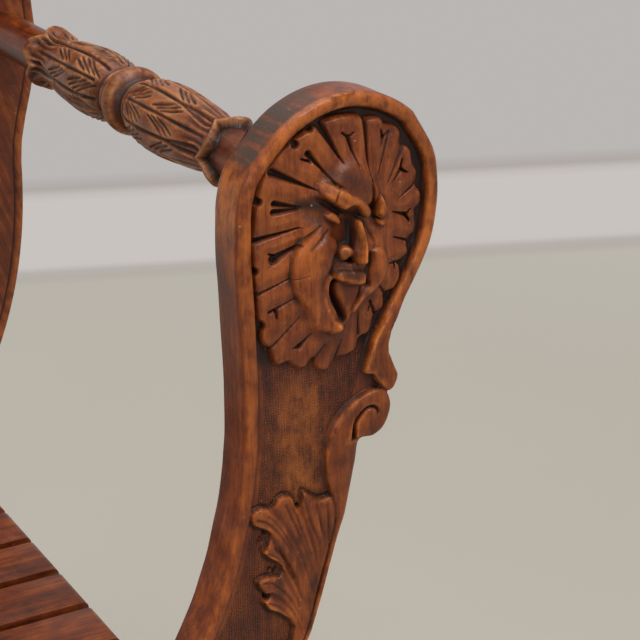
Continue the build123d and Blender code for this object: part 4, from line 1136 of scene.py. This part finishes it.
def armRail(side):
    # rows bunch where the profile turns sharply; the lip is allowed to hang over the neck
    half = insideFace(side)
    neckStart, neckStep = rail["neckRows"]
    spans = [np.arange(*span) for span in (*rail["rows"], (neckStart, half, neckStep))]
    ends = np.concatenate([*spans, [half + rail["tenon"]]])
    ys = np.concatenate([-ends[::-1], ends[1:]])
    degrees = np.linspace(0, 360, rail["columns"], endpoint=False)
    y, angle = np.meshgrid(ys, degrees, indexing="ij")
    radius = railRadii(y, angle)
    away = np.abs(y)
    # wear and painted highlight on what stands proud and on the full bulges, painted shade in the hollows and
    # in the cove beside the ring
    proud = radius - blurredRound(radius, 6)
    wearAndHighlight = np.clip(proud * 0.9, 0, 1) + 0.22 * smoothStep(18.5, 22, radius)
    shade = np.clip(-proud * 1.9 - 0.1, 0, 1) + 0.6 * (away < 20) * smoothStep(19, 15, radius)
    # a painted shadow ring under the lip, and painted shade in the cove behind it
    shade = np.maximum(shade, 0.8 * np.exp(-(((away - 155.5) / 1.8) ** 2)))
    cove = smoothStep(19, 17, radius) * smoothStep(140, 143, away) * smoothStep(157, 154, away)
    shade = np.maximum(shade, 0.75 * cove)
    points, faces = revolved(ys, radius, (headX, headZ - rail["drop"]), rail["columns"])
    tones = {"wearAndHighlight": padded(np.clip(wearAndHighlight, 0, 0.9), 2), "shade": padded(np.clip(shade, 0, 1), 2)}
    makePiece(f"leafRail{side.title()}", points, faces, carvedTurned, f"{side}_frame",
              [f"arm_rail_{side}"], tones, side == "left")


carvedTurned = walnutMaterial("carvedTurnedWalnut", "y", 0.0, 0.8, "rubbedAndLit")
for side in ("right", "left"):
    armRail(side)
print("rails turned and carved")


# plain S-curved members: a soft-edged section carried along horizontal cuts
def softSection(radius, beads):
    # (share across, offset, share of depth, offset, tone) round the section, quarter circles at its corners;
    # offsets in millimetres; beads are scratched lines; the tone is wear and painted highlight on the rounded
    # corners, painted shade in the scratched lines
    quarter = np.radians([0, 22.5, 45, 67.5, 90])
    inAt, outAt = radius * (1 - np.cos(quarter)), radius * (1 - np.sin(quarter))
    lines = [(offset + way, deep) for offset in beads for way, deep in ((-1.2, 0), (0, 1.1), (1.2, 0))]
    near = 2.2 * radius
    front = [(0, 0, 0, near, 0)] + [(0, a, 0, b, 0.45) for a, b in zip(inAt, outAt)] + [(0, near, 0, 0, 0)]
    front += [(0, offset, 0, deep, -deep) for offset, deep in lines]
    front += [(1, -offset, 0, deep, -deep) for offset, deep in lines[::-1]]
    front += [(1, -near, 0, 0, 0)] + [(1, -a, 0, b, 0.45) for a, b in zip(inAt[::-1], outAt[::-1])]
    front += [(1, 0, 0, near, 0)]
    back = [(share, offset, 1, -deep, tone) for share, offset, _, deep, tone in front[::-1]]
    return np.array(front + back, float)


def member(name, node, side, levels, widths, frontY, thickness, radius, beads=(), post=()):
    # the section laid between the inner and the outer edge at each level, post rows added on top
    inner, outer = memberRows(*widths, np.linspace(-1, 1, 240))
    for rise, innerX, outerX in post:
        inner = np.vstack([inner, (innerX, rise)])
        outer = np.vstack([outer, (outerX, rise)])
    left = np.interp(levels, inner[:, 1], inner[:, 0])
    right = np.interp(levels, outer[:, 1], outer[:, 0])
    slope = np.gradient((left + right) / 2, levels)
    stretch = np.hypot(1, slope)  # horizontal cuts through a slanting member are longer than its width
    share, offset, deep, inwards, tone = softSection(radius, beads).T
    x = left[:, None] + (right - left)[:, None] * share + offset * stretch[:, None]
    y = np.repeat((frontY + thickness * deep + inwards)[None], len(levels), 0)
    z = np.repeat(levels[:, None] + chair["pivotHeight"], len(share), 1)
    rows, columns = x.shape
    faces = gridFaces(rows, columns, 0, True)
    faces += [list(range(columns))[::-1], list(range((rows - 1) * columns, rows * columns))]
    points = np.stack([x, y, z], -1).reshape(-1, 3)
    # wear and painted highlight on the rounded corners, painted shade in the scratched lines
    tones = {"wearAndHighlight": np.repeat(np.clip(tone, 0, 1)[None], rows, 0),
             "shade": np.repeat(np.clip(-tone, 0, 1)[None], rows, 0)}
    body, flip = f"{side}_frame", side == "left"
    makePiece(name, points, faces, uprightWood, body, [node], tones, flip)


slat = {
    "thickness": 24.0, "count": 9, "foot": 49.5, "top": 370.5, "radius": 2.5, "rows": 90,
    "widths": (58.0, 46.0, 46.0),  # at the crossing, at the top and at the foot
}
rearBoard = {
    "foot": 49.5, "bandTop": 640.0, "postFoot": 645.0, "top": 785.0, "radius": 3.0, "rows": (150, 50),
    "bead": 8.0,  # from the board's edge to the scratched line along it
    # rise over the rod, inner and outer edge of the post above the plain band
    "post": ((410, 231, 300.5), (430, 239, 305), (450, 249, 310.5), (470, 258, 315), (485, 263, 317),
             (505, 266.2, 317.2), (525, 266.8, 315.6), (545, 266, 314)),
}


def legSlats():
    # slats of the right and left frame in turn, evenly spaced between the left frame's boards
    levels = np.linspace(slat["foot"], slat["top"], slat["rows"]) - chair["pivotHeight"]
    half, thickness = insideFace("left"), slat["thickness"]
    gap = (2 * half - slat["count"] * thickness) / (slat["count"] + 1)
    for index in range(slat["count"]):
        side, number = ("right", "left")[index % 2], index // 2 + 1
        frontY = gap - half + index * (thickness + gap)
        member(f"legSlat{side.title()}{number}", f"leg_slat_{side}_{number}", side, levels, slat["widths"],
               frontY, thickness, slat["radius"])


def rearBoards():
    # the front board's S without its carving, with a straighter post above it
    bandRows, postRows = rearBoard["rows"]
    band = np.linspace(rearBoard["foot"], rearBoard["bandTop"], bandRows)
    post = np.linspace(rearBoard["postFoot"], rearBoard["top"], postRows)
    levels = np.concatenate([band, post]) - chair["pivotHeight"]
    for side in ("right", "left"):
        member(f"rearBoard{side.title()}", f"rear_board_{side}", side, levels, armShape["widths"],
               insideFace(side), chair["boardThickness"], rearBoard["radius"], (rearBoard["bead"],),
               rearBoard["post"])


legSlats()
rearBoards()
print("slats and rear boards made")


# merged copies of plain solids with softened edges
def softened(nodeName, pieceName, body, material, width, segments=2):
    # the node's own solid, its loose triangles joined and its sharp edges rounded by a bevel
    shape = bmesh.new()
    shape.from_mesh(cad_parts[nodeName].data)
    bmesh.ops.remove_doubles(shape, verts=shape.verts, dist=1e-6)
    bmesh.ops.dissolve_limit(shape, angle_limit=0.01, verts=shape.verts, edges=shape.edges)
    mesh = bpy.data.meshes.new(pieceName)
    shape.to_mesh(mesh)
    shape.free()
    mesh.materials.clear()
    mesh.materials.append(material)
    mesh.polygons.foreach_set("use_smooth", np.full(len(mesh.polygons), True))
    piece = bpy.data.objects.new(pieceName, mesh)
    bpy.context.scene.collection.objects.link(piece)
    bevel = piece.modifiers.new("softEdges", "BEVEL")
    bevel.width = width * 0.001
    bevel.segments = segments
    bevel.limit_method = "ANGLE"
    bevel.angle_limit = math.radians(35)
    bevel.harden_normals = True
    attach(piece, body)
    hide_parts(nodeName)


softEdge = {"seatSlat": 1.6, "batten": 1.2, "bearer": 1.2, "runner": 2.5}  # width of the bevel
seatSlats = sorted(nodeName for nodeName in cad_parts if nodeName.startswith("seat_slat_"))
for number, nodeName in enumerate(seatSlats, 1):
    softened(nodeName, f"seatSlat{number}", "seat", crossWood, softEdge["seatSlat"])
for side in ("left", "right"):
    batten, bearer = f"seatBatten{side.title()}", f"seatBearer{side.title()}"
    softened(f"seat_batten_{side}", batten, "seat", depthWood, softEdge["batten"])
    softened(f"seat_bearer_{side}", bearer, f"{side}_frame", depthWood, softEdge["bearer"])
# the boards cross, so the right frame stands on the left runner
for side, frameBody in (("left", "right_frame"), ("right", "left_frame")):
    runner = f"runner{side.title()}"
    softened(f"runner_{side}", runner, frameBody, depthWood, softEdge["runner"], 3)
print("plain pieces softened")


# carved rosettes over the ends of the rod
rosette = {"radius": 27.0, "petals": 8, "plane": 283.0, "sectors": 160, "rings": 56}


def rosetteHeights(radius, turn):
    # two rings of petals round a domed eye
    share = radius / rosette["radius"]
    petal = np.abs(np.cos(turn * rosette["petals"] / 2))
    inner = np.abs(np.sin(turn * rosette["petals"] / 2))
    height = 5.0 + 2.4 * petal * np.sin(np.pi * np.clip(share, 0, 1))
    height -= 1.6 * (1 - petal) * smoothStep(0.5, 0.95, share)
    height -= 1.1 * np.exp(-((inner / 0.10) ** 2)) * smoothStep(0.5, 0.7, share)
    raised = 8.6 + 1.6 * inner * np.sin(np.pi * np.clip(share / 0.62, 0, 1))
    height = height + (raised - height) * smoothStep(0.64, 0.56, share + 0.05 * (1 - inner))
    dome = 9.6 + 3.3 * np.sqrt(np.clip(1 - (share / 0.26) ** 2, 0, 1))
    height = np.where(share < 0.26, dome, height - 1.2 * np.exp(-(((share - 0.29) / 0.03) ** 2)))
    return height - 4.0 * smoothStep(0.93, 1.0, share)


def rosettePiece(name, node, way):
    # rings of a lobed round, raised over the board's face; the rear one is turned about
    sector = np.linspace(0, 2 * np.pi, rosette["sectors"], endpoint=False)
    edge = rosette["radius"] * (0.93 + 0.07 * np.abs(np.cos(sector * rosette["petals"] / 2)) ** 0.6)
    share = np.linspace(0.01, 1, rosette["rings"])[:, None]
    radius = share * edge
    height = rosetteHeights(radius / (edge / rosette["radius"]), np.broadcast_to(sector, radius.shape))
    proud = height - blurredRound(height, 4)
    x, z = radius * np.cos(sector), chair["pivotHeight"] + radius * np.sin(sector)
    points, faces = reliefShell(np.stack([x, -rosette["plane"] - height, z], -1), -rosette["plane"])
    if way > 0:
        points = points * (1, -1, 1)
        faces = [face[::-1] for face in faces]
    extra = len(points) - height.size
    # wear and painted highlight on the proud petals, painted shade between them and on the skirt and
    # underside
    tones = {"wearAndHighlight": padded(np.clip(proud * 0.6, 0, 1), extra),
             "shade": padded(np.clip(-proud * 0.9, 0, 1), extra, 0.4)}
    makePiece(name, points, faces, carvedWood, "pivot", [node], tones)


rosettePiece("rosetteFront", "rosette_boss_front", -1)
rosettePiece("rosetteRear", "rosette_boss_rear", 1)
print("rosettes carved")


# crest board, carved on its front
crest = {
    "foot": 785.0, "half": 330.0, "front": 235.8, "thickness": 34.0, "border": 15.0, "sunk": -3.0,
    "corner": (318.0, 12.0, 18.0),  # where the lower corners begin to rise, over what length, how high
    "lowerCorner": (321.0, 0.0),  # where the border turns at the foot
    "rows": 112, "columns": 400,
    # top edge of the right half: distance from the middle and height over the foot
    "top": ((0, 178), (30, 177.4), (62, 173.5), (92, 164.8), (122, 150), (150, 131), (172, 113.5),
            (190, 99.6), (205, 92.4), (222, 91.4), (240, 94.6), (256, 100.5), (270.6, 104), (286, 102.6),
            (300, 96.6), (312, 86.6), (321, 72.5), (327, 54), (330, 31.2)),
    "cartouche": (0.0, 98.0, 66.0, 44.0),  # middle x and z, half its width and height
    "flutes": 24,
    # stems and leaves of the right half: line, widths, heights
    "stems": ((((70, 96), (92, 72), (122, 58), (150, 66), (163, 86), (156, 106), (138, 110), (128, 97),
                (136, 86)), (4.5, 4.0, 3.2, 2.2), (5.0, 5.0, 4.4, 3.6)),
              (((118, 58), (150, 42), (188, 34), (222, 40), (240, 56), (234, 72), (220, 74), (213, 64),
                (220, 56)), (4.0, 3.6, 3.0, 2.0), (4.6, 4.6, 4.0, 3.4)),
              (((216, 38), (246, 30), (272, 36), (290, 52), (288, 70), (276, 76)), (3.2, 3.0, 2.4, 1.6),
               (4.0, 4.0, 3.2, 2.0))),
    "leaves": ((((84, 82), (96, 106), (90, 130), (76, 144)), (3, 8, 6, 1.5), (3, 4.4, 3.6, 1.5)),
               (((104, 66), (118, 84), (120, 106), (110, 126)), (3, 6.5, 5, 1.5), (3, 4.0, 3.4, 1.5)),
               (((134, 62), (120, 44), (100, 34), (78, 32)), (3, 6.5, 5, 1.5), (3, 4.0, 3.4, 1.5)),
               (((166, 44), (180, 60), (186, 78), (178, 92)), (3, 6.5, 5, 1.5), (3, 4.0, 3.4, 1.5)),
               (((196, 36), (178, 24), (158, 20), (140, 22)), (3, 5, 4, 1.5), (3, 3.4, 3.0, 1.2)),
               (((244, 34), (256, 50), (258, 66), (250, 80)), (3, 5.5, 4.5, 1.5), (3, 3.8, 3.0, 1.2)),
               (((276, 38), (294, 32), (308, 36)), (3, 5, 1.5), (3, 3.4, 1.5))),
}


def crestHeights(x, z):
    # border bead, sunk field, fluted cartouche in the middle, stems and leaves to both sides
    side = np.abs(x)
    off = np.minimum(toLine(side, z, [*crest["top"], crest["lowerCorner"]])[0], z)
    height = rimProfile(off, crest["border"], crest["sunk"])
    ground = smoothStep(1.2, 1.5, off / crest["border"])
    relief = np.zeros(x.shape)
    for line, widths, heights in crest["stems"] + crest["leaves"]:
        relief = np.maximum(relief, ridge(side, z, evenCurve(line, 24), widths, heights, 2.6))
    for line, _, _ in crest["leaves"]:
        relief -= ridge(side, z, evenCurve(line, 24), (0.6, 1.0, 0.9, 0.5), (0.6, 1.5, 1.3, 0.2))
    height = height + relief * ground
    middleX, middleZ, wide, high = crest["cartouche"]
    spread = np.hypot((x - middleX) / wide, (z - middleZ) / high)
    turn = np.arctan2((z - middleZ) / high, (x - middleX) / wide)
    flutes = 0.5 + 0.5 * np.cos(turn * crest["flutes"])
    boss = 1.0 + 0.9 * flutes * np.sin(np.pi * np.clip((spread - 0.52) / 0.48, 0, 1))
    boss = np.where(spread < 0.52, 0.4 + 4.2 * np.sqrt(np.clip(1 - (spread / 0.52) ** 2, 0, 1)), boss)
    boss -= 1.8 * np.exp(-(((spread - 0.54) / 0.03) ** 2))
    height += (boss - height) * smoothStep(1.02, 0.98, spread)
    return height, ground * (relief < 0.6) * (spread > 1.04)


def crestPiece():
    # columns run from the foot up to the curved top edge; the carved height stands over the front plane
    x = np.linspace(-crest["half"], crest["half"], crest["columns"] + 1)
    cornerStart, cornerLength, cornerRise = crest["corner"]
    lowest = cornerRise * np.clip((np.abs(x) - cornerStart) / cornerLength, 0, 1) ** 2
    share = np.linspace(0, 1, crest["rows"] + 1)[:, None]
    z = lowest + (graphAt(crest["top"], np.abs(x)) - lowest) * share
    x = np.broadcast_to(x, z.shape)
    height, ground = crestHeights(x, z)
    front = np.stack([x, crest["front"] - height, z + crest["foot"]], -1)
    points, faces = plankShell(front, crest["front"] + crest["thickness"])
    # wear and painted highlight on what stands proud, painted shade in what lies deep and a little on the
    # shell
    proud = height - blurred(height, 8)
    extra = len(points) - height.size
    tones = {"wearAndHighlight": padded(np.clip(proud * 0.5, 0, 1) * (height > -2), extra),
             "shade": padded(np.clip(-proud * 0.7, 0, 1), extra, 0.05), "hatch": padded(0.7 * ground, extra)}
    makePiece("crestBoard", points, faces, carvedCross, "back", ["crest_board"], tones)


carvedCross = walnutMaterial("carvedCrossWalnut", "x", 0.0, 1.0)
crestPiece()
print("crest board carved")


# stage, light and camera
stage = {
    "near": (193, 188, 178), "far": (205, 200, 190), "wall": (186, 182, 180), "skirting": (200, 195, 190),
    "line": (172, 165, 161), "floor": (187, 182, 171), "wallTurn": 19.9, "wallAway": 2.93,
    "halfWidth": 12, "length": 16,
    "fade": (1.0, 2.1),  # metres from the middle over which the floor gives way to the world's own
    "low": 0.5 - 0.3612, "high": 0.5 - 0.308,  # foot and top of the skirting, as rise over way, plus a half
    "glow": (1.0, 0.985, 0.96, 1),
}


def stageMaterial():
    # pale clouded floor, lighter further back
    material, tree, shader, out = newMaterial("paleFloor")
    place = tree.nodes.new("ShaderNodeTexCoord").outputs["Object"]
    cloud = times(tree, noiseNode(tree, place, 3.0, 3, 0.5), 0.2)
    back = plus(tree, times(tree, parted(tree, place)[1], 0.5), cloud)
    pale = rampNode(tree, back, [(0.1, linear(*stage["near"])), (0.8, linear(*stage["far"]))])
    feed(tree, pale, shader.inputs["Base Color"])
    shader.inputs["Roughness"].default_value = 0.7
    shader.inputs["Specular IOR Level"].default_value = 0.2
    # further out than the lamps reach, the floor gives way to the world's own plain floor
    away = tree.nodes.new("ShaderNodeVectorMath")
    away.operation = "LENGTH"
    feed(tree, place, away.inputs[0])
    nearFade, farFade = (metres / 10 for metres in stage["fade"])
    thin = rampNode(tree, times(tree, away.outputs["Value"], 0.1), [(nearFade, grey(0)), (farFade, grey(1))])
    clear = tree.nodes.new("ShaderNodeBsdfTransparent")
    mixShaders(tree, thin, shader.outputs[0], clear.outputs[0], out.inputs["Surface"])
    return material


def makeFloor(ahead, across):
    # the floor ends where the wall stands; beyond it the world shows a plain wall over a pale skirting
    eye = cameraSettings["place"]
    foot = Vector((eye[0], eye[1], 0)) + ahead * stage["wallAway"]
    wide, back = across * stage["halfWidth"], ahead * stage["length"]
    corners = [foot - wide - back, foot + wide - back, foot + wide, foot - wide]
    mesh = bpy.data.meshes.new("floor")
    mesh.from_pydata([tuple(c) for c in corners], [], [(0, 1, 2, 3)])
    mesh.materials.append(stageMaterial())
    floor = bpy.data.objects.new("floor", mesh)
    bpy.context.scene.collection.objects.link(floor)


def makeWorld(ahead):
    # height on the wall = z / (way towards the wall), for directions that meet it
    world = bpy.data.worlds.new("studio")
    bpy.context.scene.world = world
    world.use_nodes = True
    tree = world.node_tree
    tree.nodes.clear()
    out = tree.nodes.new("ShaderNodeOutputWorld")
    seen = tree.nodes.new("ShaderNodeBackground")
    glow = tree.nodes.new("ShaderNodeBackground")
    glow.inputs["Color"].default_value = stage["glow"]
    glow.inputs["Strength"].default_value = lightSettings["ambient"]
    x, y, z = parted(tree, tree.nodes.new("ShaderNodeTexCoord").outputs["Generated"])
    towards = plus(tree, times(tree, x, ahead.x), times(tree, y, ahead.y))
    rise = mathNode(tree, "DIVIDE", z, mathNode(tree, "MAXIMUM", towards, 0.02))
    low, high = stage["low"], stage["high"]
    stops = ((0.0, "floor"), (low - 0.0045, "floor"), (low, "line"), (low + 0.006, "skirting"),
             (high - 0.006, "skirting"), (high, "line"), (high + 0.006, "wall"))
    bands = rampNode(tree, plus(tree, rise, 0.5), [(place, linear(*stage[key])) for place, key in stops])
    feed(tree, bands, seen.inputs["Color"])
    # the bands are seen directly and in reflections, the even glow lights everything else
    rays = tree.nodes.new("ShaderNodeLightPath").outputs
    straight = [rays[f"Is {kind} Ray"] for kind in ("Camera", "Glossy", "Transmission")]
    direct = mathNode(tree, "MAXIMUM", *straight)
    mixShaders(tree, direct, glow.outputs[0], seen.outputs[0], out.inputs[0])


lightSettings = {
    "ambient": 0.42,
    "colour": (1.0, 0.97, 0.93),
    # name, place, aimed at, size, watts
    "lamps": (("keyLamp", (0.5, -1.5, 2.7), (0.2, -0.2, 0.6), 1.1, 30.0),
              ("skyLamp", (0.1, 0.3, 3.0), (0.1, 0, 0.5), 2.0, 30.0),
              ("sideLamp", (-1.6, -1.4, 1.7), (0.2, -0.2, 0.6), 0.9, 9.0)),
}
cameraSettings = {"place": (-0.2068, -1.1174, 1.0581), "azimuth": 30.0, "dip": 21.5, "lens": 101.25}


def makeLamps():
    # square lamps, each turned to face its target
    for name, place, target, size, watts in lightSettings["lamps"]:
        data = bpy.data.lights.new(name, "AREA")
        data.energy = watts
        data.size = size
        data.color = lightSettings["colour"]
        lamp = bpy.data.objects.new(name, data)
        lamp.location = place
        lamp.rotation_euler = (Vector(target) - Vector(place)).to_track_quat("-Z", "Y").to_euler()
        bpy.context.scene.collection.objects.link(lamp)


def makeCamera():
    # looks along (sin turn * cos dip, cos turn * cos dip, -sin dip)
    data = bpy.data.cameras.new("viewCamera")
    data.sensor_width = 36
    data.lens = cameraSettings["lens"]
    data.clip_start, data.clip_end = 0.05, 60
    turn, dip = math.radians(cameraSettings["azimuth"]), math.radians(cameraSettings["dip"])
    ahead = Vector((math.sin(turn) * math.cos(dip), math.cos(turn) * math.cos(dip), -math.sin(dip)))
    camera = bpy.data.objects.new("viewCamera", data)
    camera.location = cameraSettings["place"]
    camera.rotation_euler = ahead.to_track_quat("-Z", "Y").to_euler()
    bpy.context.scene.collection.objects.link(camera)
    bpy.context.scene.camera = camera


wallTurn = math.radians(stage["wallTurn"])
towardsWall = Vector((math.sin(wallTurn), math.cos(wallTurn), 0))
makeFloor(towardsWall, Vector((math.cos(wallTurn), -math.sin(wallTurn), 0)))
makeWorld(towardsWall)
makeLamps()
makeCamera()
bpy.context.scene.view_settings.view_transform = "Standard"


# turned pegs through the boards, their ends left a hair proud
peg = {"radius": 4.5, "length": 46.0, "proud": 0.6, "columns": 36}


def boardPegs(side):
    # four pegs in one piece: a cylinder whose outer end is a low dome, at each place along x, front and rear
    node = f"bearer_pegs_{side}"
    low, high = (np.asarray(corner) * 1000 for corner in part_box(node))
    bulge = np.sin(np.linspace(0, np.pi / 2, 6)[1:] * 0.96)
    along = np.concatenate([[high[1] - peg["length"], high[1] - 6, high[1]], high[1] + peg["proud"] * bulge])
    radii = peg["radius"] * np.concatenate([[1, 1, 1], np.sqrt(1 - bulge**2)])
    points, faces = [], []
    for x in (low[0] + peg["radius"], high[0] - peg["radius"]):
        for way in (-1, 1):
            ring, sides = revolved(way * along, radii, (x, (low[2] + high[2]) / 2), peg["columns"])
            start = len(points) * len(ring)
            points.append(ring)
            faces += [tuple(index + start for index in face) for face in sides]
    points = np.vstack(points)
    makePiece(f"boardPegs{side.title()}", points, faces, pegWood, f"{side}_frame", [node])


pegWood = walnutMaterial("pegWalnut", "y", 0.0, 0.6)
for side in ("right", "left"):
    boardPegs(side)
print("pegs made")

# the nodes that still show their own solids: both rods and the spacers between the slats
nodeFinish = {"pivot_rod": iron, "seat_hinge_rod": iron, "pivot_spacers": depthWood}
for nodeName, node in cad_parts.items():
    node.data.materials.clear()
    node.data.materials.append(nodeFinish.get(nodeName, uprightWood))
